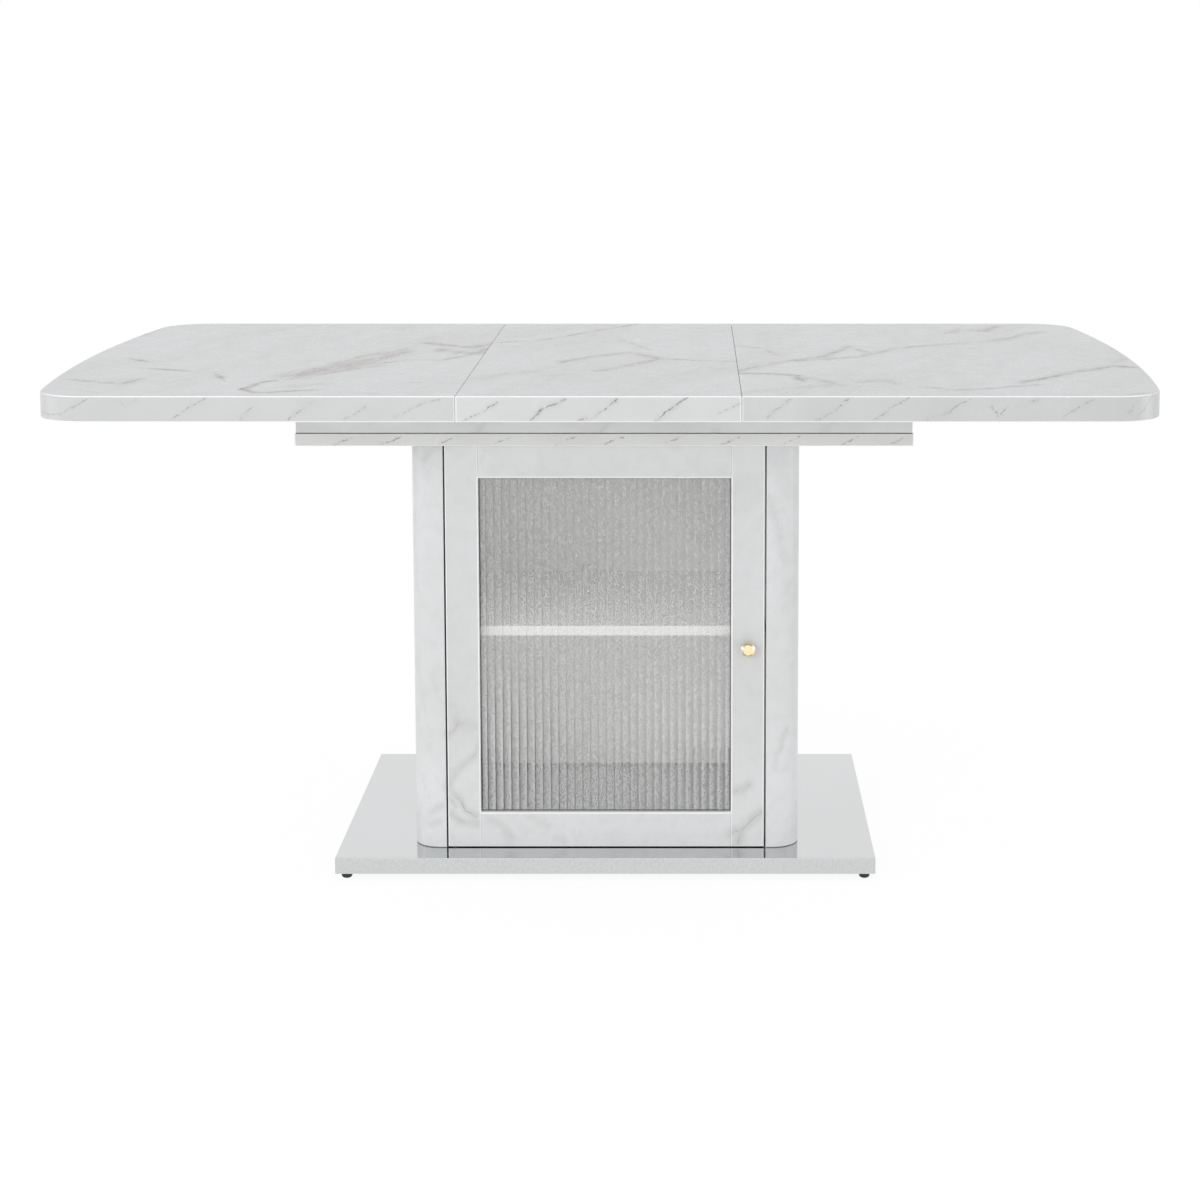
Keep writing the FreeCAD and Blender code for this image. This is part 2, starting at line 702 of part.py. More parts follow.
def make_knob():
    """Turned knob on the latch stile, with the screw that holds it from behind."""
    head_back = knob_length - knob_head_length
    bevel = knob_radius - knob_face_radius
    profile = [
        (0, 0),
        (knob_foot_radius, 0),
        (knob_foot_radius, knob_foot_length),
        (knob_neck_radius, knob_foot_length),
        (knob_neck_radius, head_back),
        (knob_radius - bevel / 2, head_back),
        (knob_radius, head_back + bevel / 2),
        (knob_radius, knob_length - bevel),
        (knob_face_radius, knob_length),
        (0, knob_length),
    ]
    points = [Vector(knob_x + r, front_y - reach, knob_z) for r, reach in profile]
    face = Part.Face(Part.makePolygon(points + points[:1]))
    knob = face.revolve(Vector(knob_x, front_y, knob_z), Vector(0, 1, 0), 360)
    parts["door_knob"] = Part.makeSolid(knob) if knob.ShapeType == "Shell" else knob
    seat = Vector(knob_x, door_back_y, knob_z)
    size = knob_screw_size + (door_thickness + knob_screw_depth,)
    screws = fasten(["door_right_stile", "door_knob"], [seat], Vector(0, -1, 0), size)
    parts["knob_screw"] = screws[0]


def make_catch():
    """Magnetic catch under the board, and the steel strike on the back of the door."""
    right = opening_half - catch_inset
    left = right - catch_length
    strike_y = door_back_y + strike_sheet
    catch_front = strike_y + catch_clearance
    parts["magnetic_catch"] = block(left, right, catch_front, catch_front + catch_depth,
                                    board_bottom - catch_height, board_bottom)
    middle_x = min((left + right) / 2, door_right - strike_length / 2)
    parts["strike_plate"] = block(middle_x - strike_length / 2, middle_x + strike_length / 2,
                                  door_back_y, strike_y, door_top - strike_height, door_top)


make_frame()
make_cabinet()
make_base()
fasten_pedestal()
make_brackets()
make_top_half(-1, "left")
make_top_half(1, "right")
make_leaf()
make_door()
make_pivots()
make_knob()
make_catch()

os.makedirs("parts", exist_ok=True)
for node, shape in parts.items():
    shape.exportStep(os.path.join("parts", node + ".step"))
print(len(parts), "parts written")
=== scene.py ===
import math

import bpy
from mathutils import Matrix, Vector


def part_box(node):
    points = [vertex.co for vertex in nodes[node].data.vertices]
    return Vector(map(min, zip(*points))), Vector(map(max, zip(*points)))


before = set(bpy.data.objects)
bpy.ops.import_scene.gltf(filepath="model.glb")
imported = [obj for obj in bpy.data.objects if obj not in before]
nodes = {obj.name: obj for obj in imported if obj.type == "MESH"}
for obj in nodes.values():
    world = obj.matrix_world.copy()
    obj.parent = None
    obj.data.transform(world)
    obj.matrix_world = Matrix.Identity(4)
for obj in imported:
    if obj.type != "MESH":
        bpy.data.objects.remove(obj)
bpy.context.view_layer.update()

# Camera, fitted to the photograph's edges in a 1200 x 1200 frame
IMAGE_SIZE = 1200
CAMERA_PLACE = Vector((0.1278, -3.6853, 1.2108))
CAMERA_TILT = math.radians(6.273)
FOCAL_PIXELS = 2384.3
PRINCIPAL_X = 691.6
PRINCIPAL_Y = 320.0
SENSOR = 36.0

# Light
WORLD_LIGHT = 0.83
FLOOR_GLOW = 0.93                 # share of the floor's white that no shadow touches
FLOOR_ALBEDO = 0.85
FLOOR_HALF = 30.0

# Colours, linear
MARBLE = (0.640, 0.651, 0.660, 1)
MARBLE_SHADE = (0.604, 0.611, 0.614, 1)
DOOR_FILM = (0.684, 0.695, 0.700, 1)
DOOR_SHADE = (0.650, 0.658, 0.660, 1)
# painted light at the door's head and foot, where its film is painted paler
DOOR_ENDS_LIGHT = (0.760, 0.772, 0.778, 1)
# painted light: the walls' film is painted paler than the door's, for the light on the pedestal's sides
WALL_FILM = (0.722, 0.733, 0.741, 1)
WALL_SHADE = (0.692, 0.700, 0.704, 1)
# painted light at the walls' foot, where their film is painted paler
WALL_FOOT_LIGHT = (0.790, 0.802, 0.810, 1)
EDGE = (0.571, 0.587, 0.585, 1)
EDGE_SHADE = (0.546, 0.558, 0.555, 1)
LEAF_EDGE = (0.622, 0.637, 0.635, 1)
LEAF_EDGE_SHADE = (0.597, 0.610, 0.607, 1)
BOARD = (0.775, 0.785, 0.768, 1)
BOARD_SHADE = (0.738, 0.747, 0.729, 1)
RAIL = (0.740, 0.752, 0.746, 1)
RAIL_SHADE = (0.684, 0.695, 0.686, 1)
SMOKE = (0.440, 0.418, 0.402, 1)
VEIN = (0.200, 0.172, 0.155, 1)
# painted highlight on rounded arrises, at the seams and round the door's opening
ARRIS_HIGHLIGHT = (0.95, 0.96, 0.97, 1)
MELAMINE = (0.64, 0.645, 0.64, 1)
MELAMINE_SHADE = (0.61, 0.61, 0.605, 1)
# painted light: the cabinet's back is painted paler below the shelf, palest at its foot
BACK_MIDDLE_LIGHT = (0.90, 0.905, 0.90, 1)
BACK_FOOT_LIGHT = (0.95, 0.955, 0.95, 1)
# painted light on the shelf: paler to the front and on its front edge, with a painted shadow in its left back
# corner
SHELF_BACK_SHADE = (0.86, 0.865, 0.86, 1)
SHELF_CORNER_SHADOW = (0.66, 0.665, 0.66, 1)
SHELF_FRONT_LIGHT = (0.97, 0.975, 0.97, 1)
SHELF_EDGE_LIGHT = (0.94, 0.945, 0.94, 1)
# painted shade in the door's gaps, at the foot of the cabinet's back and where the walls meet the base
GAP_SHADE = (0.012, 0.012, 0.013, 1)
# painted shade in the groove under the frame rails
GROOVE_SHADE = (0.16, 0.16, 0.16, 1)
STEEL = (0.660, 0.670, 0.677, 1)
STEEL_SMEAR = (0.620, 0.627, 0.631, 1)
STEEL_FLECK = (0.50, 0.49, 0.47, 1)
# painted shade on the base's sheet inside the cabinet
STEEL_INDOORS_SHADE = (0.245, 0.25, 0.255, 1)
ZINC = (0.50, 0.51, 0.53, 1)
ZINC_SPANGLE = (0.62, 0.62, 0.61, 1)
GOLD = (0.90, 0.75, 0.45, 1)
GOLD_RIM = (0.94, 0.84, 0.60, 1)
BLACK = (0, 0, 0, 1)
CLEAR_GLASS = (1.0, 1.0, 0.995, 1)
GLASS_SHADOW = (0.96, 0.965, 0.96, 1)
FELT_DARK = (0.14, 0.14, 0.15, 1)
FELT_PALE = (0.34, 0.34, 0.35, 1)
FIBRE_DARK = (0.30, 0.20, 0.12, 1)
FIBRE_PALE = (0.52, 0.39, 0.26, 1)
FIBRE_PATCH = (0.38, 0.27, 0.17, 1)
PINE_EARLY = (0.66, 0.49, 0.30, 1)
PINE_LATE = (0.50, 0.33, 0.17, 1)
BEECH_EARLY = (0.64, 0.48, 0.30, 1)
BEECH_LATE = (0.55, 0.38, 0.22, 1)
BLACK_PLASTIC = (0.012, 0.012, 0.013, 1)
BLACK_PLASTIC_PALER = (0.022, 0.022, 0.024, 1)
WHITE_PLASTIC = (0.74, 0.74, 0.72, 1)
WHITE_PLASTIC_PALER = (0.80, 0.80, 0.79, 1)

# Places taken from the frame
seam_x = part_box("leaf_panel")[1].x
strip_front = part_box("leaf_edges")[0].y
board_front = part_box("support_board")[0].y
door_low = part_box("door_left_stile")[0]
door_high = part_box("door_right_stile")[1]
glass_low, glass_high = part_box("door_glass")
knob_low, knob_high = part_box("door_knob")
lining_low, lining_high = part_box("right_lining_panel")
shelf_low, shelf_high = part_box("shelf")
rail_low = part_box("front_frame_rail")[0]
floor_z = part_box("base_shell")[1].z
open_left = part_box("door_left_stile")[1].x
open_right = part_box("door_right_stile")[0].x
open_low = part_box("door_bottom_rail")[1].z
open_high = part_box("door_top_rail")[0].z

# Lines and fades in the finishes. A pair is the stretch over which a tone comes or goes
GROOVE_HEIGHT = 0.0013            # painted shade in the groove under the frame rails
SEAM_HIGHLIGHT = 0.0030                # half width of the painted highlight line at each seam
ARRIS_HIGHLIGHT_FADE = (0.735, 0.785)       # the painted highlight on the arrises fades out here, at the top's corners
FOOT_LIGHT_FADE = 0.25                  # painted light: the pedestal's film grows paler towards the base over this height
HEAD_LIGHT_FADE = 0.07                  # and painted light makes the door's paler towards its top edge over this one
OPENING_HIGHLIGHT = (0.0014, 0.0028)   # end of the painted highlight line round the door's opening
HINGE_SHADOW = (0.001, 0.004)     # behind the door's front face, on its edge at the hinge
EDGE_SHEET = 0.0002               # a point this near to an outer face of the door lies on it
BACK_SHADE_LINE = (0.003, 0.005)        # top of the painted shade line at the foot of the cabinet's back
CONTACT_SHADOW_LINE = (0.0006, 0.0016)   # top of the painted contact shadow line between the walls and the base
STRIP_FRONT = (0.004, 0.012)      # placed veins on the edges give way to running ones behind the front face
FILM_FRONT = (0.03, 0.06)         # and on the pedestal
SHELF_SHADOW_SPAN = (-0.04, 0.08)      # Y over which the painted shadow comes into the shelf's corner
STRIP_SPACING = 0.088             # between running veins on the top's edge strips
BOARD_SPACING = 0.075             # and on the board's edge
RAIL_SPACING = 0.19               # and on the frame rails
EDGE_LEAN = 1.8                   # running veins go this far along an edge for its height
RAIL_LEAN = 1.1
DOOR_FOOT_LIGHT_SHARE = 0.8             # share of the painted light at the door's foot
WALL_FOOT_LIGHT_SHARE = 0.6             # and at the walls' foot
KNOB_RIM = (0.0068, 0.0078)       # the knob's bevel begins at this radius
KNOB_RINGS = 14000.0              # turning lines on the knob, in radians for each metre of radius

# How veins wander: scale of the noise and its reach, coarse to fine
TOP_WARP = ((7.0, 0.030), (45.0, 0.012), (170.0, 0.007))
EDGE_WARP = ((60.0, 0.008), (260.0, 0.005))
FRONT_WARP = ((16.0, 0.016), (110.0, 0.006))
AROUND_WARP = ((5.0, 0.08), (30.0, 0.012))

# Reeded glass
FLUTE_COUNT = 32
FLUTE_MARGIN = 0.004              # plain glass beside the outer flutes
FLUTE_FADE = 0.18                 # flutes show less from this far below the shelf up to its top
GLASS_SHADE_LINE = (-0.0024, -0.0008)   # beginning of the painted shade line round the glass
HAZE_LOW = 0.24                   # frosting below the shelf
HAZE_HIGH = 0.205                 # and from a height above it
HAZE_FADE = 0.12
HAZE_LIGHT_RAMP = 0.26                  # change of frosting across a flute, as painted light and shade
HAZE_GRAIN = 0.08
HAZE_MEETING_SHADE = 0.14               # less frosting where two flutes meet, as painted shade
HAZE_OUTLINE_SHADE = 0.3                # and along the outline, as painted shade
TINT = 0.85                       # share of light that the glass lets through
# painted light and shade of the glass: across each flute, where flutes meet and round the glass
TINT_LIGHT_RAMP = 0.20
TINT_MEETING_SHADE = 0.15
TINT_OUTLINE_SHADE = 0.45

# Veins on the top: chains of (X, Y), band width, band strength, line width, line strength
LEFT_VEINS = [
    ([(-0.500, -0.380), (-0.490, -0.345), (-0.485, -0.300), (-0.472, -0.282)], 0.014, 0.75, 0.0085, 1.00),
    ([(-0.472, -0.282), (-0.430, -0.250), (-0.395, -0.180), (-0.340, -0.115)], 0.014, 0.50, 0.0045, 0.92),
    ([(-0.455, -0.235), (-0.405, -0.145), (-0.365, -0.060), (-0.330, 0.040)], 0.052, 0.85, 0.0036, 0.43),
    ([(-0.445, -0.190), (-0.415, -0.105), (-0.385, -0.010), (-0.322, 0.085)], 0.018, 0.55, 0.0045, 0.81),
    ([(-0.500, -0.380), (-0.480, -0.415), (-0.450, -0.410), (-0.405, -0.392)], 0.014, 0.50, 0.0090, 0.95),
    ([(-0.340, -0.095), (-0.305, -0.045), (-0.260, -0.060), (-0.220, 0.010)], 0.016, 0.45, 0.0060, 0.81),
    ([(-0.265, 0.070), (-0.235, 0.035), (-0.210, 0.030), (-0.190, 0.100)], 0.036, 0.90, 0.0070, 0.80),
    ([(-0.300, 0.160), (-0.260, 0.130), (-0.220, 0.105), (-0.190, 0.170)], 0.028, 0.75, 0.0070, 0.80),
    ([(-0.435, -0.350), (-0.390, -0.325)], 0.024, 0.45, 0.0036, 0.16),
    ([(-0.395, 0.375), (-0.370, 0.360), (-0.360, 0.405)], 0.020, 0.35, 0.0060, 0.43),
    ([(-0.325, -0.420), (-0.300, -0.425)], 0.014, 0.30, 0.0072, 0.43),
    ([(-0.280, -0.315), (-0.245, -0.313)], 0.016, 0.30, 0.0072, 0.32),
    ([(-0.745, -0.036), (-0.695, -0.082)], 0.018, 0.50, 0.0110, 0.85),
    ([(-0.685, -0.152), (-0.610, -0.186)], 0.018, 0.50, 0.0120, 1.00),
    ([(-0.570, -0.212), (-0.542, -0.290)], 0.018, 0.55, 0.0080, 1.00),
    ([(-0.352, -0.130), (-0.332, -0.124)], 0.014, 0.40, 0.0085, 0.80),
    ([(-0.765, -0.280), (-0.685, -0.325), (-0.670, -0.270)], 0.020, 0.45, 0.0080, 0.55),
    ([(-0.800, 0.215), (-0.780, 0.350)], 0.022, 0.45, 0.0060, 0.54),
    ([(-0.615, -0.445), (-0.510, -0.415)], 0.016, 0.30, 0.0072, 0.32),
]
LEAF_VEINS = [
    ([(-0.205, 0.160), (-0.120, 0.202), (-0.075, 0.275), (0.035, 0.445)], 0.014, 0.30, 0.0053, 0.97),
    ([(-0.200, -0.255), (-0.170, -0.275), (-0.145, -0.205), (-0.105, -0.190)], 0.020, 0.40, 0.0060, 0.38),
    ([(-0.065, -0.075), (-0.035, -0.025), (0.025, 0.040), (0.080, -0.040)], 0.026, 0.60, 0.0067, 0.81),
    ([(0.080, -0.040), (0.140, -0.062), (0.205, -0.075)], 0.018, 0.40, 0.0072, 0.54),
    ([(-0.010, -0.180), (0.050, -0.100), (0.080, -0.040)], 0.022, 0.55, 0.0060, 0.70),
    ([(-0.110, -0.225), (-0.045, -0.225)], 0.024, 0.35, 0.0072, 0.27),
    ([(0.010, 0.215), (0.060, 0.080)], 0.016, 0.35, 0.0048, 0.43),
]
RIGHT_VEINS = [
    ([(0.190, -0.195), (0.250, -0.100), (0.330, -0.010), (0.380, 0.120)], 0.020, 0.60, 0.0060, 0.86),
    ([(0.380, 0.120), (0.410, 0.025), (0.432, 0.052)], 0.016, 0.45, 0.0060, 0.65),
    ([(0.275, -0.075), (0.390, -0.010), (0.450, 0.090), (0.620, 0.195)], 0.022, 0.55, 0.0060, 0.70),
    ([(0.615, 0.185), (0.680, 0.280), (0.712, 0.322)], 0.026, 0.60, 0.0054, 0.54),
    ([(0.190, -0.210), (0.240, -0.210), (0.282, -0.235), (0.286, -0.280)], 0.022, 0.65, 0.0083, 0.86),
    ([(0.282, -0.235), (0.310, -0.280), (0.340, -0.335)], 0.024, 0.45, 0.0054, 0.43),
    ([(0.190, -0.428), (0.235, -0.385), (0.320, -0.340)], 0.018, 0.40, 0.0060, 0.43),
    ([(0.455, -0.355), (0.500, -0.385), (0.540, -0.370), (0.612, -0.335)], 0.018, 0.45, 0.0072, 0.54),
    ([(0.375, -0.300), (0.410, -0.270), (0.415, -0.325)], 0.020, 0.40, 0.0054, 0.43),
    ([(0.605, -0.305), (0.665, -0.235), (0.765, -0.130), (0.805, -0.152)], 0.024, 0.65, 0.0083, 1.00),
    ([(0.770, -0.085), (0.805, -0.030)], 0.016, 0.45, 0.0054, 0.54),
    ([(0.560, 0.305), (0.585, 0.365), (0.620, 0.340), (0.660, 0.405)], 0.026, 0.55, 0.0083, 0.65),
    ([(0.715, -0.445), (0.775, -0.415)], 0.016, 0.35, 0.0066, 0.54),
    ([(0.195, 0.128), (0.240, 0.090), (0.265, 0.000)], 0.016, 0.35, 0.0054, 0.43),
]
STRAND_TURN = math.radians(20)    # strands in the top's veins run this far off the table's width
TAIL_FROM = 0.005                 # veins with a broader line than this thin out past their free ends
TAIL_LENGTH = 0.030               # over this length
TAIL_STRENGTH = 0.10              # down to this share of their strength

# Veins on the top's front edge: chains of (X, Z), with the same four numbers
EDGE_VEINS = [
    ([(-0.740, 0.724), (-0.716, 0.737), (-0.695, 0.749)], 0.005, 0.33, 0.0011, 0.68),
    ([(-0.657, 0.745), (-0.646, 0.736), (-0.633, 0.746)], 0.006, 0.38, 0.0011, 0.63),
    ([(-0.583, 0.719), (-0.560, 0.735), (-0.538, 0.749)], 0.005, 0.33, 0.0011, 0.68),
    ([(-0.492, 0.718), (-0.474, 0.735)], 0.006, 0.33, 0.0011, 0.50),
    ([(-0.425, 0.719), (-0.409, 0.730), (-0.391, 0.742)], 0.006, 0.38, 0.0012, 0.72),
    ([(-0.349, 0.717), (-0.319, 0.735)], 0.006, 0.33, 0.0011, 0.54),
    ([(-0.280, 0.722), (-0.237, 0.741), (-0.218, 0.746)], 0.006, 0.33, 0.0011, 0.63),
    ([(-0.186, 0.716), (-0.162, 0.727), (-0.137, 0.743)], 0.007, 0.46, 0.0015, 0.95),
    ([(-0.093, 0.716), (-0.080, 0.731), (-0.045, 0.747)], 0.008, 0.52, 0.0016, 0.95),
    ([(-0.026, 0.715), (0.003, 0.728), (0.027, 0.745)], 0.007, 0.46, 0.0015, 0.92),
    ([(0.077, 0.715), (0.096, 0.731), (0.123, 0.748)], 0.008, 0.52, 0.0016, 0.95),
    ([(0.164, 0.727), (0.197, 0.742)], 0.005, 0.33, 0.0011, 0.68),
    ([(0.233, 0.719), (0.243, 0.731), (0.262, 0.745)], 0.006, 0.38, 0.0011, 0.63),
    ([(0.298, 0.716), (0.325, 0.731), (0.342, 0.747)], 0.006, 0.38, 0.0012, 0.72),
    ([(0.379, 0.717), (0.402, 0.734), (0.427, 0.749)], 0.006, 0.38, 0.0012, 0.72),
    ([(0.446, 0.716), (0.479, 0.728), (0.509, 0.747)], 0.006, 0.38, 0.0012, 0.68),
    ([(0.539, 0.735), (0.550, 0.722), (0.561, 0.734)], 0.006, 0.43, 0.0012, 0.72),
    ([(0.572, 0.735), (0.605, 0.745)], 0.005, 0.33, 0.0011, 0.54),
    ([(0.638, 0.722), (0.659, 0.735), (0.678, 0.746)], 0.006, 0.38, 0.0011, 0.68),
    ([(0.728, 0.727), (0.744, 0.741)], 0.006, 0.38, 0.0011, 0.54),
]

# Veins on the board's front edge: chains of (X, Z), with the same four numbers
BOARD_VEINS = [
    ([(-0.396, 0.649), (-0.382, 0.654), (-0.367, 0.660)], 0.004, 0.30, 0.0012, 0.85),
    ([(-0.327, 0.649), (-0.312, 0.655), (-0.296, 0.661)], 0.004, 0.30, 0.0012, 0.85),
    ([(-0.242, 0.651), (-0.216, 0.660)], 0.004, 0.25, 0.0011, 0.65),
    ([(-0.159, 0.650), (-0.137, 0.661)], 0.004, 0.25, 0.0011, 0.70),
    ([(-0.072, 0.649), (-0.058, 0.655), (-0.041, 0.660)], 0.004, 0.30, 0.0012, 0.85),
    ([(-0.002, 0.648), (0.012, 0.654), (0.028, 0.660)], 0.005, 0.35, 0.0013, 0.90),
    ([(0.091, 0.652), (0.112, 0.661)], 0.004, 0.25, 0.0011, 0.70),
    ([(0.170, 0.649), (0.184, 0.655), (0.200, 0.661)], 0.004, 0.30, 0.0012, 0.85),
    ([(0.262, 0.650), (0.285, 0.660)], 0.004, 0.30, 0.0012, 0.75),
    ([(0.345, 0.649), (0.372, 0.660)], 0.004, 0.30, 0.0012, 0.75),
    ([(0.418, 0.651), (0.436, 0.659)], 0.004, 0.25, 0.0011, 0.65),
]

# Veins on the door and the pedestal's front: chains of (X, Z), with the same four numbers
FRONT_VEINS = [
    ([(-0.235, 0.208), (-0.226, 0.215), (-0.221, 0.226)], 0.012, 0.50, 0.0012, 0.45),
    ([(-0.221, 0.226), (-0.206, 0.225), (-0.194, 0.221)], 0.012, 0.35, 0.0010, 0.15),
    ([(-0.226, 0.151), (-0.211, 0.164), (-0.197, 0.174), (-0.191, 0.184)], 0.011, 0.50, 0.0012, 0.40),
    ([(-0.237, 0.155), (-0.224, 0.153)], 0.008, 0.50, 0.0012, 0.45),
    ([(-0.226, 0.149), (-0.235, 0.133), (-0.237, 0.123)], 0.012, 0.55, 0.0012, 0.40),
    ([(-0.230, 0.118), (-0.219, 0.109), (-0.209, 0.094), (-0.193, 0.084)], 0.011, 0.55, 0.0014, 0.65),
    ([(-0.237, 0.112), (-0.228, 0.100)], 0.010, 0.45, 0.0012, 0.30),
    ([(-0.234, 0.088), (-0.219, 0.078), (-0.208, 0.074), (-0.192, 0.072)], 0.013, 0.50, 0.0012, 0.35),
    ([(-0.265, 0.086), (-0.256, 0.093), (-0.246, 0.098)], 0.010, 0.40, 0.0012, 0.35),
    ([(-0.263, 0.069), (-0.252, 0.074)], 0.010, 0.35, 0.0010, 0.25),
    ([(0.193, 0.118), (0.205, 0.123), (0.215, 0.130)], 0.013, 0.50, 0.0012, 0.40),
    ([(0.185, 0.053), (0.193, 0.058), (0.206, 0.061), (0.219, 0.074), (0.232, 0.087)],
     0.013, 0.55, 0.0014, 0.55),
    ([(0.203, 0.058), (0.200, 0.049), (0.197, 0.038)], 0.015, 0.60, 0.0014, 0.50),
    ([(0.268, 0.216), (0.262, 0.192), (0.255, 0.179), (0.249, 0.156)], 0.009, 0.40, 0.0010, 0.35),
    ([(-0.174, 0.076), (-0.159, 0.067), (-0.143, 0.050)], 0.012, 0.35, 0.0010, 0.20),
    ([(-0.114, 0.081), (-0.099, 0.073), (-0.087, 0.067)], 0.010, 0.30, 0.0010, 0.15),
    ([(-0.074, 0.049), (-0.060, 0.042)], 0.009, 0.30, 0.0010, 0.20),
    ([(-0.271, 0.619), (-0.257, 0.634), (-0.242, 0.642)], 0.010, 0.35, 0.0010, 0.25),
    ([(0.244, 0.562), (0.266, 0.472)], 0.012, 0.25, 0.0010, 0.15),
]


class Shader:
    """One node material, with short calls for the nodes that it uses."""

    def __init__(self, name):
        self.material = bpy.data.materials.new(name)
        self.material.use_nodes = True
        self.tree = self.material.node_tree
        self.surface = self.tree.nodes["Principled BSDF"]
        coords = self.tree.nodes.new("ShaderNodeTexCoord")
        self.point = coords.outputs["Object"]
        self.normal = coords.outputs["Normal"]

    def put(self, socket, value):
        """Set a socket to a value, or link another socket to it."""
        if isinstance(value, bpy.types.NodeSocket):
            self.tree.links.new(value, socket)
        else:
            socket.default_value = value

    def add(self, kind, values, **settings):
        node = self.tree.nodes.new(kind)
        for key, value in settings.items():
            setattr(node, key, value)
        for key, value in values.items():
            self.put(node.inputs[key], value)
        return node

    def math(self, operation, first, second=0.0):
        return self.add("ShaderNodeMath", {0: first, 1: second}, operation=operation).outputs[0]

    def times(self, first, second):
        return self.math("MULTIPLY", first, second)

    def vector(self, operation, first, second=(0, 0, 0)):
        return self.add("ShaderNodeVectorMath", {0: first, 1: second}, operation=operation).outputs["Vector"]

    def scaled(self, point, factors):
        return self.vector("MULTIPLY", point, factors)

    def turned(self, point, angle):
        """The point turned about Z."""
        node = self.add("ShaderNodeVectorRotate", {"Vector": point, "Angle": angle}, rotation_type="Z_AXIS")
        return node.outputs[0]

    def split(self, point):
        return tuple(self.add("ShaderNodeSeparateXYZ", {0: point}).outputs)

    def join(self, x, y, z):
        return self.add("ShaderNodeCombineXYZ", {0: x, 1: y, 2: z}).outputs[0]

    def noise(self, point, scale, detail=3.0, roughness=0.5):
        values = {"Vector": point, "Scale": scale, "Detail": detail, "Roughness": roughness}
        return self.add("ShaderNodeTexNoise", values).outputs["Fac"]

    def range(self, value, low, high, to_low=0.0, to_high=1.0):
        """Smooth step from one value to another."""
        values = {"Value": value, "From Min": low, "From Max": high, "To Min": to_low, "To Max": to_high}
        return self.add("ShaderNodeMapRange", values, interpolation_type="SMOOTHSTEP").outputs["Result"]

    def hump(self, value, centre, width):
        """1 at the centre, falling to 0 a width away."""
        away = self.math("ABSOLUTE", self.math("SUBTRACT", value, centre))
        return self.range(away, 0.0, width, 1.0, 0.0)

    def mix(self, factor, first, second):
        node = self.tree.nodes.new("ShaderNodeMix")
        node.data_type = "RGBA"
        colour_inputs = [socket for socket in node.inputs if socket.type == "RGBA"]
        self.put(node.inputs["Factor"], factor)
        self.put(colour_inputs[0], first)
        self.put(colour_inputs[1], second)
        return [socket for socket in node.outputs if socket.type == "RGBA"][0]

    def bump(self, height, strength, distance):
        node = self.add("ShaderNodeBump", {"Height": height, "Strength": strength, "Distance": distance})
        self.put(self.surface.inputs["Normal"], node.outputs[0])

    def finish(self, **values):
        for key, value in values.items():
            self.put(self.surface.inputs[key.replace("_", " ")], value)
        return self.material


def vein_group():
    """Node group: how near a point lies to one straight stretch of vein, as a band and as a line.

    Begin and Finish are the vein's strengths at the two ends of the stretch. Its width follows them.
    """
    group = bpy.data.node_groups.new("vein_stretch", "ShaderNodeTree")
    for name in ("Point", "Start", "End"):
        group.interface.new_socket(name, in_out="INPUT", socket_type="NodeSocketVector")
    for name in ("Begin", "Finish", "Band", "Line"):
        group.interface.new_socket(name, in_out="INPUT", socket_type="NodeSocketFloat")
    for name in ("Band", "Line"):
        group.interface.new_socket(name, in_out="OUTPUT", socket_type="NodeSocketFloat")
    source = group.nodes.new("NodeGroupInput").outputs
    target = group.nodes.new("NodeGroupOutput").inputs

    def vector(operation, first, second, result):
        node = group.nodes.new("ShaderNodeVectorMath")
        node.operation = operation
        group.links.new(first, node.inputs[0])
        if second is not None:
            group.links.new(second, node.inputs["Scale" if operation == "SCALE" else 1])
        return node.outputs[result]

    along = vector("SUBTRACT", source["End"], source["Start"], "Vector")
    reach = vector("SUBTRACT", source["Point"], source["Start"], "Vector")
    passed = vector("DOT_PRODUCT", reach, along, "Value")
    whole = vector("DOT_PRODUCT", along, along, "Value")
    share = group.nodes.new("ShaderNodeMath")
    share.operation = "DIVIDE"
    share.use_clamp = True
    group.links.new(passed, share.inputs[0])
    group.links.new(whole, share.inputs[1])
    foot = vector("SCALE", along, share.outputs[0], "Vector")
    away = vector("LENGTH", vector("SUBTRACT", reach, foot, "Vector"), None, "Value")
    strength = group.nodes.new("ShaderNodeMapRange")
    group.links.new(share.outputs[0], strength.inputs["Value"])
    group.links.new(source["Begin"], strength.inputs["To Min"])
    group.links.new(source["Finish"], strength.inputs["To Max"])
    for name in ("Band", "Line"):
        width = group.nodes.new("ShaderNodeMath")
        width.operation = "MULTIPLY"
        group.links.new(source[name], width.inputs[0])
        group.links.new(strength.outputs["Result"], width.inputs[1])
        fade = group.nodes.new("ShaderNodeMapRange")
        fade.interpolation_type = "SMOOTHSTEP"
        group.links.new(away, fade.inputs["Value"])
        group.links.new(width.outputs[0], fade.inputs["From Max"])
        group.links.new(strength.outputs["Result"], fade.inputs["To Min"])
        fade.inputs["To Max"].default_value = 0.0
        group.links.new(fade.outputs["Result"], target[name])
    return group


VEIN_STRETCH = vein_group()


def tip_past(end, neighbour):
    """Where a vein's tail ends, and its strength there."""
    outwards = (Vector(end) - Vector(neighbour)).normalized()
    return Vector(end) + outwards * TAIL_LENGTH, TAIL_STRENGTH


def with_tails(chain, meetings):
    """The points of a vein and their strengths, with a thin tail past each end that meets no other vein.

    A vein of one stretch is broadest in its middle.
    """
    inner = chain if len(chain) > 2 else [(Vector(chain[0]) + Vector(chain[1])) / 2]
    points = [(place, 1.0) for place in inner]
    if chain[0] not in meetings:
        points.insert(0, tip_past(chain[0], chain[1]))
    if chain[-1] not in meetings:
        points.append(tip_past(chain[-1], chain[-2]))
    return points


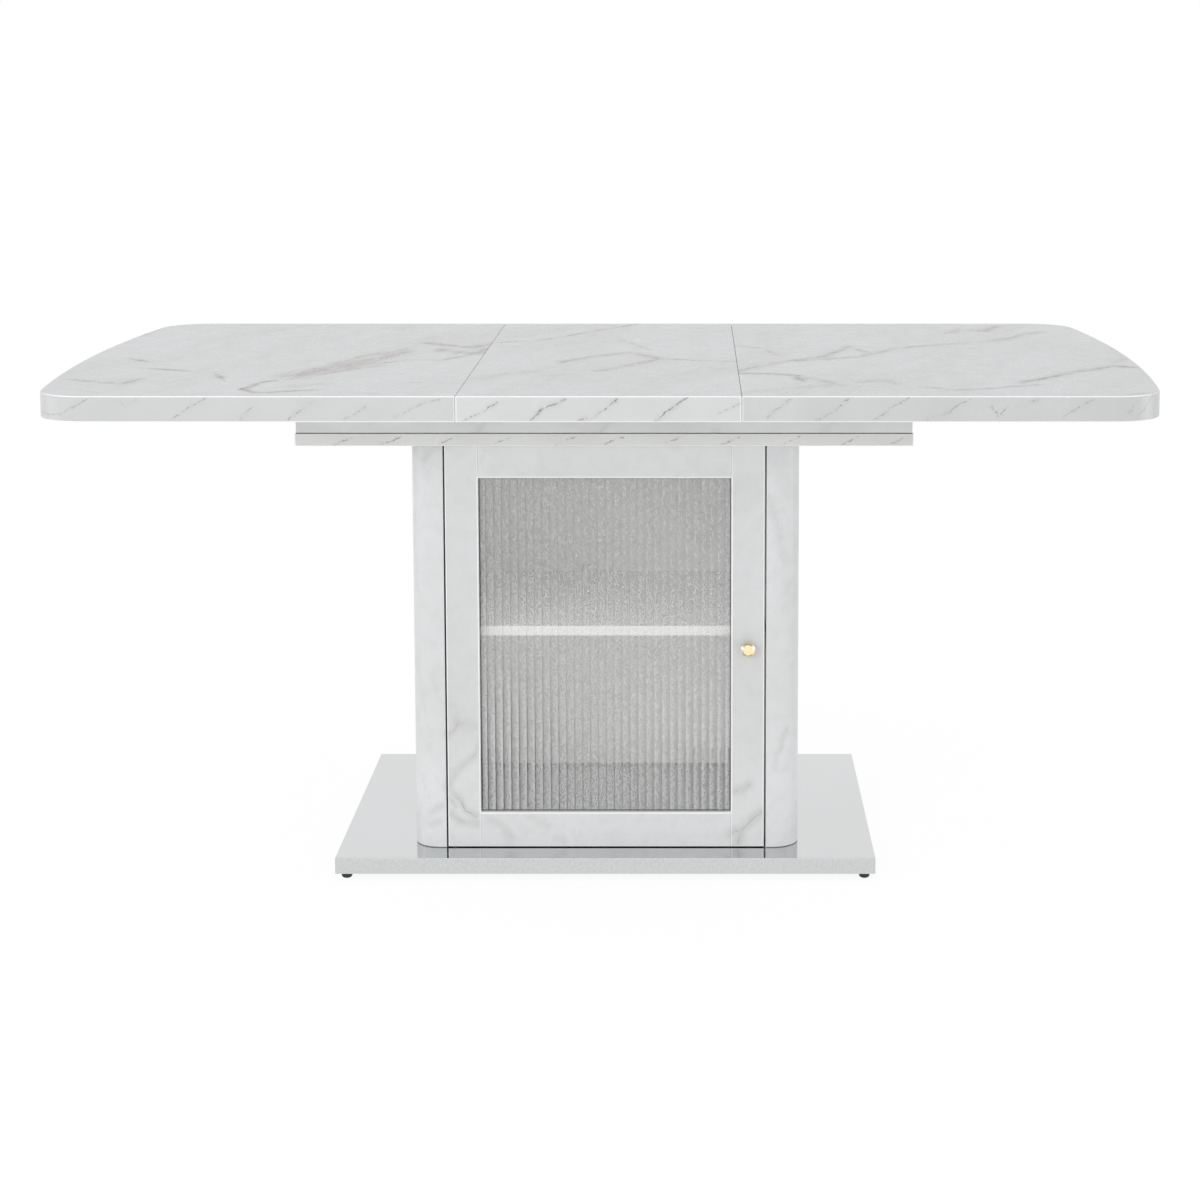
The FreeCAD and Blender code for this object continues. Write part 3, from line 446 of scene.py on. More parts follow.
def draw_veins(shader, point, veins, tail_from=math.inf):
    """Band and line masks of a list of veins at a flat point. Lines broader than tail_from get tails."""
    masks = {"Band": 0.0, "Line": 0.0}
    every_place = [place for vein in veins for place in vein[0]]
    meetings = {place for place in every_place if every_place.count(place) > 1}
    for chain, band_width, band_strength, line_width, line_strength in veins:
        widths = {"Band": band_width, "Line": line_width}
        strengths = {"Band": band_strength, "Line": line_strength}
        points = [(place, 1.0) for place in chain]
        if line_width > tail_from:
            points = with_tails(chain, meetings)
        for (start, begin), (end, finish) in zip(points, points[1:]):
            node = shader.add("ShaderNodeGroup", {}, node_tree=VEIN_STRETCH)
            places = {"Point": point, "Start": (*start, 0), "End": (*end, 0)}
            ends = {"Begin": begin, "Finish": finish}
            for key, value in {**places, **ends, **widths}.items():
                shader.put(node.inputs[key], value)
            for name, strength in strengths.items():
                faded = shader.times(node.outputs[name], strength)
                masks[name] = shader.math("MAXIMUM", faded, masks[name])
    return masks["Band"], masks["Line"]


def warped(shader, point, warp):
    """The point pushed about by noise of several sizes, so that straight veins wander."""
    for scale, reach in warp:
        noise = shader.add("ShaderNodeTexNoise", {"Vector": point, "Scale": scale, "Detail": 4.0})
        push = shader.vector("SUBTRACT", noise.outputs["Color"], (0.5, 0.5, 0.5))
        point = shader.vector("ADD", point, shader.scaled(push, (reach, reach, reach)))
    return point


def rounded_by(shader, part):
    """1 where one part of the normal shows a rounded edge, neither square to it nor along it."""
    size = shader.math("ABSOLUTE", part)
    return shader.times(shader.range(size, 0.06, 0.20), shader.range(size, 0.97, 0.998, 1.0, 0.0))


def arris_highlight_lines(shader):
    """1 on every rounded arris, level or upright, where a painted highlight goes."""
    x_part, _, z_part = shader.split(shader.normal)
    return shader.math("MAXIMUM", rounded_by(shader, x_part), rounded_by(shader, z_part))


def strip_highlight_lines(shader):
    """Painted highlight lines on the top's edge strips: on the level arrises, short of the corners, and at
    the seams.
    """
    out = shader.math("ABSOLUTE", shader.split(shader.point)[0])
    level = rounded_by(shader, shader.split(shader.normal)[2])
    level = shader.times(level, shader.range(out, *ARRIS_HIGHLIGHT_FADE, 1.0, 0.2))
    return shader.math("MAXIMUM", level, shader.hump(out, seam_x, SEAM_HIGHLIGHT))


def past_opening(shader):
    """How far a point lies outside the door's opening, negative within it."""
    x, _, z = shader.split(shader.point)
    reach = shader.math("SUBTRACT", open_left, x)
    for low, high in ((x, open_right), (open_low, z), (z, open_high)):
        reach = shader.math("MAXIMUM", reach, shader.math("SUBTRACT", low, high))
    return reach


def marble_top(name, veins):
    """Glossy printed marble: soft clouds, listed veins made of fine strands, a plain underside."""
    shader = Shader(name)
    flat = shader.scaled(shader.point, (1, 1, 0))
    band, line = draw_veins(shader, warped(shader, flat, TOP_WARP), veins, TAIL_FROM)
    lanes = shader.turned(flat, STRAND_TURN)
    clouds = shader.noise(shader.scaled(lanes, (7.0, 2.2, 1.0)), 1.0, 5.0, 0.55)
    strands = shader.noise(shader.scaled(lanes, (95.0, 10.0, 1.0)), 1.0, 4.0, 0.6)
    wisps = shader.noise(shader.scaled(lanes, (30.0, 4.0, 1.0)), 1.0, 4.0, 0.55)
    gaps = shader.noise(flat, 38.0, 3.0, 0.6)
    grain = shader.noise(flat, 150.0, 4.0, 0.65)

    colour = shader.mix(shader.range(clouds, 0.36, 0.66), MARBLE, MARBLE_SHADE)
    wisp = shader.times(shader.hump(wisps, 0.5, 0.03), shader.range(clouds, 0.52, 0.66, 0.0, 0.22))
    colour = shader.mix(wisp, colour, SMOKE)
    smoke = shader.times(band, shader.range(strands, 0.34, 0.62, 0.30, 1.0))
    colour = shader.mix(smoke, colour, SMOKE)
    strand = shader.times(shader.times(band, band), shader.hump(strands, 0.52, 0.035))
    broken = shader.times(line, shader.range(gaps, 0.32, 0.50))
    broken = shader.times(broken, shader.range(grain, 0.38, 0.58, 0.35, 1.0))
    dark = shader.math("MAXIMUM", shader.times(strand, 0.80), broken)
    colour = shader.mix(shader.times(dark, 0.95), colour, VEIN)
    facing_up = shader.range(shader.split(shader.normal)[2], -0.2, 0.2)
    colour = shader.mix(facing_up, MELAMINE_SHADE, colour)
    rough = shader.range(gaps, 0.3, 0.7, 0.26, 0.34)
    shader.bump(shader.noise(flat, 9.0, 1.0), 0.02, 0.002)
    return shader.finish(Base_Color=colour, Roughness=rough, Specular_IOR_Level=0.16)


def running_veins(shader, spacing, lean):
    """Thin jagged veins that lean along an upright edge, all the way round."""
    x, y, z = shader.split(shader.point)
    jag = shader.noise(shader.point, 60.0, 5.0, 0.62)
    phase = shader.math("SUBTRACT", shader.math("ADD", x, y), shader.times(z, lean))
    phase = shader.math("ADD", phase, shader.times(jag, 0.035))
    cells = {"W": phase, "Scale": 1.0 / spacing, "Randomness": 0.8}
    settings = {"voronoi_dimensions": "1D", "feature": "DISTANCE_TO_EDGE"}
    away = shader.add("ShaderNodeTexVoronoi", cells, **settings).outputs["Distance"]
    return shader.range(away, 0.0, 0.07, 0.28, 0.0), shader.range(away, 0.0, 0.013, 0.65, 0.0)


def marble_edge(name, pale, shade, front_y, front_veins, spacing, highlight_lines):
    """Upright edge with fine leaning veins, listed in front, and painted highlight lines."""
    shader = Shader(name)
    x, y, z = shader.split(shader.point)
    front = warped(shader, shader.join(x, z, 0.0), EDGE_WARP)
    band, line = draw_veins(shader, front, front_veins)
    other_band, other_line = running_veins(shader, spacing, EDGE_LEAN)
    behind_front = shader.math("SUBTRACT", y, front_y)
    in_front = shader.range(behind_front, *STRIP_FRONT, 1.0, 0.0)
    elsewhere = shader.math("SUBTRACT", 1.0, in_front)
    band = shader.math("ADD", shader.times(band, in_front), shader.times(other_band, elsewhere))
    line = shader.math("ADD", shader.times(line, in_front), shader.times(other_line, elsewhere))
    clouds = shader.noise(shader.point, 9.0, 4.0)
    gaps = shader.noise(shader.point, 130.0, 3.0, 0.6)
    colour = shader.mix(shader.range(clouds, 0.35, 0.68), pale, shade)
    colour = shader.mix(shader.times(band, shader.range(gaps, 0.35, 0.65)), colour, SMOKE)
    colour = shader.mix(shader.times(line, shader.range(gaps, 0.30, 0.48, 0.25, 1.0)), colour, VEIN)
    # painted highlight lines
    colour = shader.mix(highlight_lines(shader), colour, ARRIS_HIGHLIGHT)
    rough = shader.range(clouds, 0.3, 0.7, 0.26, 0.34)
    shader.bump(shader.noise(shader.point, 12.0, 1.0), 0.02, 0.002)
    return shader.finish(Base_Color=colour, Roughness=rough, Specular_IOR_Level=0.35)


def film_colour(shader, pale, shade):
    """Soft marble film: pale clouds, a few veins placed in front, faint ones all round."""
    x, y, z = shader.split(shader.point)
    front = warped(shader, shader.join(x, z, 0.0), FRONT_WARP)
    band, line = draw_veins(shader, front, FRONT_VEINS)
    behind_front = shader.math("SUBTRACT", y, door_low.y)
    in_front = shader.range(behind_front, *FILM_FRONT, 1.0, 0.0)
    clouds = shader.noise(shader.scaled(shader.point, (1.0, 1.0, 0.6)), 6.0, 6.0, 0.6)
    around = warped(shader, shader.point, AROUND_WARP)
    drift = shader.noise(shader.scaled(around, (1.0, 1.0, 0.7)), 3.0, 4.0)
    patches = shader.range(clouds, 0.50, 0.64)
    away = shader.math("SUBTRACT", 1.0, shader.times(in_front, 0.8))
    hairs = shader.times(shader.times(shader.hump(drift, 0.5, 0.008), patches), shader.times(away, 0.26))
    veils = shader.times(shader.times(shader.hump(drift, 0.5, 0.05), patches), shader.times(away, 0.28))
    mottle = shader.noise(shader.point, 42.0, 5.0, 0.65)
    colour = shader.mix(shader.range(clouds, 0.36, 0.68), pale, shade)
    colour = shader.mix(shader.range(mottle, 0.42, 0.68, 0.0, 0.11), colour, SMOKE)
    colour = shader.mix(veils, colour, SMOKE)
    colour = shader.mix(hairs, colour, VEIN)
    colour = shader.mix(shader.times(band, shader.times(in_front, 0.60)), colour, SMOKE)
    colour = shader.mix(shader.times(line, shader.times(in_front, 0.70)), colour, VEIN)
    return colour, clouds


def marble_door():
    """Door frame: painted light at head and foot, painted highlights, white back, painted shade at hinge and
    bottom.
    """
    shader = Shader("marble_door")
    x, y, z = shader.split(shader.point)
    # painted light: the film is painted paler towards the door's foot and its top edge
    foot = shader.range(z, door_low.z, door_low.z + FOOT_LIGHT_FADE, DOOR_FOOT_LIGHT_SHARE, 0.0)
    ends = shader.math("MAXIMUM", foot, shader.range(z, door_high.z - HEAD_LIGHT_FADE, door_high.z))
    pale = shader.mix(ends, DOOR_FILM, DOOR_ENDS_LIGHT)
    shade = shader.mix(ends, DOOR_SHADE, DOOR_ENDS_LIGHT)
    colour, clouds = film_colour(shader, pale, shade)
    # painted highlight round the opening and on the arrises
    opening_highlight = shader.range(past_opening(shader), *OPENING_HIGHLIGHT, 1.0, 0.0)
    lines = shader.math("MAXIMUM", arris_highlight_lines(shader), opening_highlight)
    colour = shader.mix(lines, colour, ARRIS_HIGHLIGHT)
    facing_back = shader.range(shader.split(shader.normal)[1], 0.3, 0.7)
    colour = shader.mix(facing_back, colour, MELAMINE)
    # painted shade on the door's hinge edge and bottom edge, where its gaps show dark
    behind_front = shader.math("SUBTRACT", y, door_low.y)
    hinge_shade = shader.times(shader.math("LESS_THAN", x, door_low.x + EDGE_SHEET),
                              shader.range(behind_front, *HINGE_SHADOW))
    bottom_shade = shader.math("LESS_THAN", z, door_low.z + EDGE_SHEET)
    colour = shader.mix(shader.math("MAXIMUM", hinge_shade, bottom_shade), colour, GAP_SHADE)
    rough = shader.range(clouds, 0.3, 0.7, 0.26, 0.36)
    shader.bump(shader.noise(shader.point, 10.0, 1.0), 0.02, 0.002)
    return shader.finish(Base_Color=colour, Roughness=rough, Specular_IOR_Level=0.35)


def marble_wall():
    """Pedestal walls: film outside, white inside, painted light low down, painted shade at foot and hinge,
    painted highlight at latch.
    """
    shader = Shader("marble_wall")
    x, y, z = shader.split(shader.point)
    # painted light: the walls' film is painted paler towards the base
    foot = shader.range(z, floor_z, floor_z + FOOT_LIGHT_FADE, WALL_FOOT_LIGHT_SHARE, 0.0)
    pale = shader.mix(foot, WALL_FILM, WALL_FOOT_LIGHT)
    shade = shader.mix(foot, WALL_SHADE, WALL_FOOT_LIGHT)
    colour, clouds = film_colour(shader, pale, shade)
    x_part, y_part, _ = shader.split(shader.normal)
    inside = shader.times(shader.range(y_part, -0.7, -0.3, 1.0, 0.0), shader.math("GREATER_THAN", y, 0.0))
    # painted light on the back: paler below the shelf and palest at its foot
    back = shader.mix(shader.range(z, floor_z, shelf_low.z), BACK_FOOT_LIGHT, BACK_MIDDLE_LIGHT)
    back = shader.mix(shader.math("GREATER_THAN", z, shelf_low.z), back, MELAMINE)
    colour = shader.mix(inside, colour, back)
    # painted shade at the foot of the cabinet's back, and a painted contact shadow above the base
    above_floor = shader.math("SUBTRACT", z, floor_z)
    back_foot_shade = shader.times(inside, shader.range(above_floor, *BACK_SHADE_LINE, 1.0, 0.0))
    contact_shadow = shader.range(above_floor, *CONTACT_SHADOW_LINE, 0.8, 0.0)
    colour = shader.mix(shader.math("MAXIMUM", back_foot_shade, contact_shadow), colour, GAP_SHADE)
    # painted shade on the wall's edge beside the hinge stile
    beside_hinge_shade = shader.times(shader.range(x_part, 0.6, 0.9), shader.math("LESS_THAN", x, door_low.x))
    colour = shader.mix(beside_hinge_shade, colour, GAP_SHADE)
    # painted light in the latch-side gap: the wall's edge there is painted white
    beside_latch_highlight = shader.times(shader.range(x_part, -0.9, -0.6, 1.0, 0.0),
                                shader.math("GREATER_THAN", x, door_high.x))
    colour = shader.mix(beside_latch_highlight, colour, ARRIS_HIGHLIGHT)
    rough = shader.range(clouds, 0.3, 0.7, 0.24, 0.34)
    shader.bump(shader.noise(shader.point, 10.0, 1.0), 0.02, 0.002)
    return shader.finish(Base_Color=colour, Roughness=rough, Specular_IOR_Level=0.4)


def marble_rail():
    """Frame rails: film with soft drifting veins, and painted shade in the groove along the bottom."""
    shader = Shader("marble_rail")
    band, line = running_veins(shader, RAIL_SPACING, RAIL_LEAN)
    clouds = shader.noise(shader.scaled(shader.point, (1.0, 1.0, 2.0)), 11.0, 5.0, 0.6)
    colour = shader.mix(shader.range(clouds, 0.35, 0.68), RAIL, RAIL_SHADE)
    colour = shader.mix(shader.times(band, shader.range(clouds, 0.4, 0.6, 0.0, 0.6)), colour, SMOKE)
    colour = shader.mix(shader.times(line, shader.range(clouds, 0.45, 0.6, 0.0, 0.12)), colour, VEIN)
    # painted shade along the rails' bottom edge
    groove = shader.math("LESS_THAN", shader.split(shader.point)[2], rail_low.z + GROOVE_HEIGHT)
    colour = shader.mix(groove, colour, GROOVE_SHADE)
    shader.bump(shader.noise(shader.point, 14.0, 1.0), 0.02, 0.002)
    return shader.finish(Base_Color=colour, Roughness=shader.range(clouds, 0.3, 0.7, 0.28, 0.38))


def white_melamine():
    """Inside of the cabinet: white melamine with a fine pearl grain."""
    shader = Shader("white_melamine")
    grain = shader.noise(shader.point, 700.0, 3.0)
    patch = shader.noise(shader.point, 5.0, 4.0)
    colour = shader.mix(shader.range(patch, 0.35, 0.65), MELAMINE, MELAMINE_SHADE)
    shader.bump(grain, 0.08, 0.0003)
    return shader.finish(Base_Color=colour, Roughness=shader.range(grain, 0.3, 0.7, 0.40, 0.52))


def shelf_board():
    """White shelf: painted shadow in its left back corner, painted light to the front, painted highlights on
    its arrises.
    """
    shader = Shader("shelf_board")
    grain = shader.noise(shader.point, 700.0, 3.0)
    _, y_part, z_part = shader.split(shader.normal)
    x, y, _ = shader.split(shader.point)
    # painted light growing to the front, and a painted shadow in the left back corner
    colour = shader.mix(shader.range(y, shelf_low.y, shelf_high.y), SHELF_FRONT_LIGHT, SHELF_BACK_SHADE)
    corner = shader.times(shader.range(x, shelf_low.x, 0.0, 1.0, 0.0), shader.range(y, *SHELF_SHADOW_SPAN))
    colour = shader.mix(corner, colour, SHELF_CORNER_SHADOW)
    colour = shader.mix(shader.range(y_part, -0.9, -0.6, 1.0, 0.0), colour, SHELF_EDGE_LIGHT)
    # painted highlight on the shelf's front arrises
    colour = shader.mix(rounded_by(shader, z_part), colour, ARRIS_HIGHLIGHT)
    shader.bump(grain, 0.08, 0.0003)
    return shader.finish(Base_Color=colour, Roughness=shader.range(grain, 0.3, 0.7, 0.40, 0.52))


def polished_steel():
    """Bright stainless sheet with a faint polish along its length, warm flecks on its edges, painted shade
    and matt indoors.
    """
    shader = Shader("polished_steel")
    streaks = shader.noise(shader.scaled(shader.point, (2.0, 120.0, 120.0)), 6.0)
    smear = shader.noise(shader.point, 4.0, 4.0)
    colour = shader.mix(smear, STEEL, STEEL_SMEAR)
    flecks = shader.noise(shader.point, 260.0, 4.0, 0.65)
    upright = shader.range(shader.math("ABSOLUTE", shader.split(shader.normal)[2]), 0.3, 0.7, 1.0, 0.0)
    warm = shader.times(upright, shader.range(flecks, 0.40, 0.66, 0.0, 0.30))
    colour = shader.mix(warm, colour, STEEL_FLECK)
    # painted shade, with more roughness, inside the cabinet
    x, y, _ = shader.split(shader.point)
    across = shader.math("LESS_THAN", shader.math("ABSOLUTE", x), lining_low.x)
    along = shader.math("LESS_THAN", shader.math("ABSOLUTE", y), lining_high.y)
    indoors = shader.times(across, along)
    colour = shader.mix(indoors, colour, STEEL_INDOORS_SHADE)
    shader.bump(streaks, 0.012, 0.0005)
    rough = shader.math("ADD", shader.range(streaks, 0.3, 0.7, 0.035, 0.075), shader.times(indoors, 0.25))
    return shader.finish(Base_Color=colour, Roughness=rough, Metallic=1.0)


def zinc_steel():
    """Zinc-plated hardware with a fine spangle."""
    shader = Shader("zinc_steel")
    spangle = shader.add("ShaderNodeTexVoronoi", {"Vector": shader.point, "Scale": 260.0}).outputs["Distance"]
    grain = shader.noise(shader.point, 300.0)
    colour = shader.mix(spangle, ZINC, ZINC_SPANGLE)
    shader.bump(grain, 0.08, 0.0003)
    rough = shader.range(grain, 0.3, 0.7, 0.26, 0.42)
    return shader.finish(Base_Color=colour, Roughness=rough, Metallic=1.0)


def gold_metal():
    """Satin gold knob with turning lines and a paler bevel."""
    shader = Shader("gold_metal")
    centre = (knob_low + knob_high) / 2
    local = shader.scaled(shader.vector("SUBTRACT", shader.point, tuple(centre)), (1, 0, 1))
    radius = shader.add("ShaderNodeVectorMath", {0: local}, operation="LENGTH").outputs["Value"]
    rings = shader.math("SINE", shader.times(radius, KNOB_RINGS))
    grain = shader.noise(shader.point, 420.0)
    rim = shader.range(radius, *KNOB_RIM)
    colour = shader.mix(rim, GOLD, GOLD_RIM)
    shader.bump(rings, 0.06, 0.0002)
    rough = shader.range(grain, 0.3, 0.7, 0.20, 0.34)
    return shader.finish(Base_Color=colour, Roughness=rough, Metallic=1.0)


def reeded_glass():
    """Reeded glass: flutes that bend what is behind them, a frosted grain, painted light across them, painted
    shade lines where they meet.
    """
    shader = Shader("reeded_glass")
    tree = shader.tree
    x, _, z = shader.split(shader.point)
    first_x = glass_low.x + FLUTE_MARGIN
    pitch = (glass_high.x - FLUTE_MARGIN - first_x) / FLUTE_COUNT
    phase = shader.math("FRACT", shader.math("DIVIDE", shader.math("SUBTRACT", x, first_x), pitch))
    drift = shader.noise(shader.scaled(shader.point, (1.0, 1.0, 0.6)), 7.0, 3.0)
    depth = shader.times(shader.range(z, shelf_low.z - FLUTE_FADE, shelf_high.z, 1.0, 0.35),
                         shader.range(drift, 0.35, 0.65, 0.7, 1.0))
    # painted light and shade across each flute, leaning opposite ways on the two sides
    lean = shader.times(shader.range(x, glass_low.x, glass_high.x, 1.0, -1.0), depth)
    light_ramp = shader.times(shader.math("SUBTRACT", phase, 0.5), lean)
    # painted shade where flutes meet
    meeting_shade = shader.times(shader.range(phase, 0.06, 0.20, 1.0, 0.0), depth)
    grain = shader.noise(shader.scaled(shader.point, (1.0, 1.0, 0.5)), 450.0, 2.0, 0.6)
    # painted shade line round the glass
    outline_shade = shader.range(past_opening(shader), *GLASS_SHADE_LINE)
    haze = shader.range(z, shelf_low.z, shelf_high.z + HAZE_FADE, HAZE_LOW, HAZE_HIGH)
    haze = shader.math("ADD", haze, shader.times(light_ramp, HAZE_LIGHT_RAMP))
    haze = shader.math("ADD", haze, shader.range(grain, 0.36, 0.64, -HAZE_GRAIN, HAZE_GRAIN))
    haze = shader.math("SUBTRACT", haze, shader.times(meeting_shade, HAZE_MEETING_SHADE))
    haze = shader.math("SUBTRACT", haze, shader.times(outline_shade, HAZE_OUTLINE_SHADE))
    haze = shader.math("MAXIMUM", haze, 0.0)
    tint = shader.math("ADD", TINT, shader.times(light_ramp, TINT_LIGHT_RAMP))
    tint = shader.math("SUBTRACT", tint, shader.times(meeting_shade, TINT_MEETING_SHADE))
    tint = shader.math("SUBTRACT", tint, shader.times(outline_shade, TINT_OUTLINE_SHADE))
    colour = shader.mix(tint, BLACK, CLEAR_GLASS)
    clear = shader.math("SUBTRACT", 1.0, haze)
    ripple = shader.noise(shader.scaled(shader.point, (1.0, 1.0, 0.14)), 420.0, 3.0, 0.6)
    shader.bump(ripple, 0.03, 0.0004)
    rough = shader.range(ripple, 0.3, 0.7, 0.015, 0.045)
    shader.finish(Base_Color=colour, Roughness=rough, IOR=1.5, Transmission_Weight=clear)
    passing = shader.add("ShaderNodeBsdfTransparent", {"Color": GLASS_SHADOW})
    path = tree.nodes.new("ShaderNodeLightPath")
    to_light = shader.math("MAXIMUM", path.outputs["Is Shadow Ray"], path.outputs["Is Diffuse Ray"])
    ways = {0: to_light, 1: shader.surface.outputs[0], 2: passing.outputs[0]}
    mixed = shader.add("ShaderNodeMixShader", ways)
    tree.links.new(mixed.outputs[0], tree.nodes["Material Output"].inputs["Surface"])
    return shader.material


def moulded_plastic(name, colour, paler):
    """Moulded plastic with a fine spark-eroded grain."""
    shader = Shader(name)
    grain = shader.noise(shader.point, 900.0)
    tint = shader.mix(shader.noise(shader.point, 60.0), colour, paler)
    shader.bump(grain, 0.15, 0.0003)
    return shader.finish(Base_Color=tint, Roughness=shader.range(grain, 0.3, 0.7, 0.42, 0.60))


def felt():
    """Grey pressed felt with short loose fibres."""
    shader = Shader("felt")
    fibres = shader.noise(shader.scaled(shader.point, (1.0, 0.3, 1.0)), 1400.0, 4.0, 0.7)
    colour = shader.mix(fibres, FELT_DARK, FELT_PALE)
    shader.bump(fibres, 0.6, 0.0006)
    return shader.finish(Base_Color=colour, Roughness=shader.range(fibres, 0.3, 0.7, 0.88, 0.98))


def fibreboard():
    """Raw fibreboard: warm brown with pale and dark flecks."""
    shader = Shader("core_board")
    flecks = shader.noise(shader.point, 700.0, 4.0, 0.7)
    patch = shader.noise(shader.point, 18.0, 4.0)
    colour = shader.mix(flecks, FIBRE_DARK, FIBRE_PALE)
    colour = shader.mix(shader.range(patch, 0.3, 0.7, 0.0, 0.35), colour, FIBRE_PATCH)
    shader.bump(flecks, 0.2, 0.0004)
    return shader.finish(Base_Color=colour, Roughness=shader.range(flecks, 0.3, 0.7, 0.78, 0.90))


def planed_wood(name, early, late):
    """Planed wood with long growth lines along X."""
    shader = Shader(name)
    stretched = shader.scaled(shader.point, (0.06, 1.0, 1.0))
    bend = shader.noise(stretched, 12.0)
    lines = shader.noise(stretched, 120.0, 3.0, 0.6)
    pores = shader.noise(shader.scaled(shader.point, (0.12, 1.0, 1.0)), 900.0, 2.0)
    colour = shader.mix(shader.range(lines, 0.38, 0.62), early, late)
    colour = shader.mix(shader.range(bend, 0.3, 0.7, 0.0, 0.4), colour, early)
    shader.bump(pores, 0.18, 0.0004)
    return shader.finish(Base_Color=colour, Roughness=shader.range(pores, 0.3, 0.7, 0.50, 0.68))


def paint(material, *names):
    """Give CAD nodes a material."""
    for name in names:
        slots = nodes[name].data.materials
        slots.clear()
        slots.append(material)


def paint_table():
    """Every node's finish."""
    paint(marble_top("marble_top_left", LEFT_VEINS), "left_top_panel")
    paint(marble_top("marble_top_leaf", LEAF_VEINS), "leaf_panel")
    paint(marble_top("marble_top_right", RIGHT_VEINS), "right_top_panel")
    strip = (strip_front, EDGE_VEINS, STRIP_SPACING, strip_highlight_lines)
    paint(marble_edge("marble_edge", EDGE, EDGE_SHADE, *strip), "left_top_edge", "right_top_edge")
    paint(marble_edge("marble_leaf_edge", LEAF_EDGE, LEAF_EDGE_SHADE, *strip), "leaf_edges")
    board = (board_front, BOARD_VEINS, BOARD_SPACING, arris_highlight_lines)
    paint(marble_edge("marble_board_edge", BOARD, BOARD_SHADE, *board), "support_board")
    paint(marble_rail(), "front_frame_rail", "back_frame_rail", "left_end_rail", "right_end_rail")
    paint(marble_door(), "door_left_stile", "door_right_stile", "door_top_rail", "door_bottom_rail")
    paint(marble_wall(), "left_side_panel", "right_side_panel", "back_panel")
    paint(white_melamine(), "left_lining_panel", "right_lining_panel", "glazing_beads")
    paint(shelf_board(), "shelf")
    paint(polished_steel(), "base_shell")
    paint(fibreboard(), "base_core")
    zinc = zinc_steel()
    paint(zinc, "channel_screws", "shelf_pins", "base_bolts", "board_screws", "corner_brackets",
          "bracket_screws", "knob_screw", "lower_pivot_pin", "upper_pivot_pin", "strike_plate", "leaf_screws",
          "left_top_screws", "right_top_screws")
    pine = planed_wood("runner_wood", PINE_EARLY, PINE_LATE)
    for side in ("left", "right"):
        for depth in ("front", "back"):
            paint(zinc, side + "_" + depth + "_channel", side + "_" + depth + "_slide")
            paint(pine, side + "_" + depth + "_runner")
    paint(pine, "leaf_battens")
    paint(planed_wood("dowel_wood", BEECH_EARLY, BEECH_LATE), "door_dowels")
    paint(gold_metal(), "door_knob")
    paint(reeded_glass(), "door_glass")
    black = moulded_plastic("black_plastic", BLACK_PLASTIC, BLACK_PLASTIC_PALER)
    paint(black, "feet", "lower_pivot_bush", "upper_pivot_bush", "pivot_washer")
    paint(moulded_plastic("white_plastic", WHITE_PLASTIC, WHITE_PLASTIC_PALER), "magnetic_catch")
    paint(felt(), "frame_pads")


def seen_white(tree):
    """1 for rays that show the background itself: to the camera, in metal and through glass."""
    path = tree.nodes.new("ShaderNodeLightPath")
    result = path.outputs["Is Camera Ray"]
    for name in ("Is Glossy Ray", "Is Transmission Ray"):
        node = tree.nodes.new("ShaderNodeMath")
        node.operation = "MAXIMUM"
        tree.links.new(result, node.inputs[0])
        tree.links.new(path.outputs[name], node.inputs[1])
        result = node.outputs[0]
    return result


def make_floor():
    """Plain white floor that keeps a faint shadow of the table."""
    mesh = bpy.data.meshes.new("floor")
    corners = [(x * FLOOR_HALF, y * FLOOR_HALF, 0) for x, y in ((-1, -1), (1, -1), (1, 1), (-1, 1))]
    mesh.from_pydata(corners, [], [(0, 1, 2, 3)])
    floor = bpy.data.objects.new("floor", mesh)
    bpy.context.scene.collection.objects.link(floor)
    material = bpy.data.materials.new("floor_white")
    material.use_nodes = True
    tree = material.node_tree
    tree.nodes.clear()
    output = tree.nodes.new("ShaderNodeOutputMaterial")
    plain = tree.nodes.new("ShaderNodeBsdfDiffuse")
    plain.inputs["Color"].default_value = (FLOOR_ALBEDO, FLOOR_ALBEDO, FLOOR_ALBEDO, 1)
    shaded = tree.nodes.new("ShaderNodeBsdfDiffuse")
    share = (1.0 - FLOOR_GLOW) / WORLD_LIGHT
    shaded.inputs["Color"].default_value = (share, share, share, 1)
    glow = tree.nodes.new("ShaderNodeEmission")
    glow.inputs["Strength"].default_value = FLOOR_GLOW
    white = tree.nodes.new("ShaderNodeAddShader")
    tree.links.new(glow.outputs[0], white.inputs[0])
    tree.links.new(shaded.outputs[0], white.inputs[1])
    chosen = tree.nodes.new("ShaderNodeMixShader")
    tree.links.new(seen_white(tree), chosen.inputs[0])
    tree.links.new(plain.outputs[0], chosen.inputs[1])
    tree.links.new(white.outputs[0], chosen.inputs[2])
    tree.links.new(chosen.outputs[0], output.inputs["Surface"])
    mesh.materials.append(material)


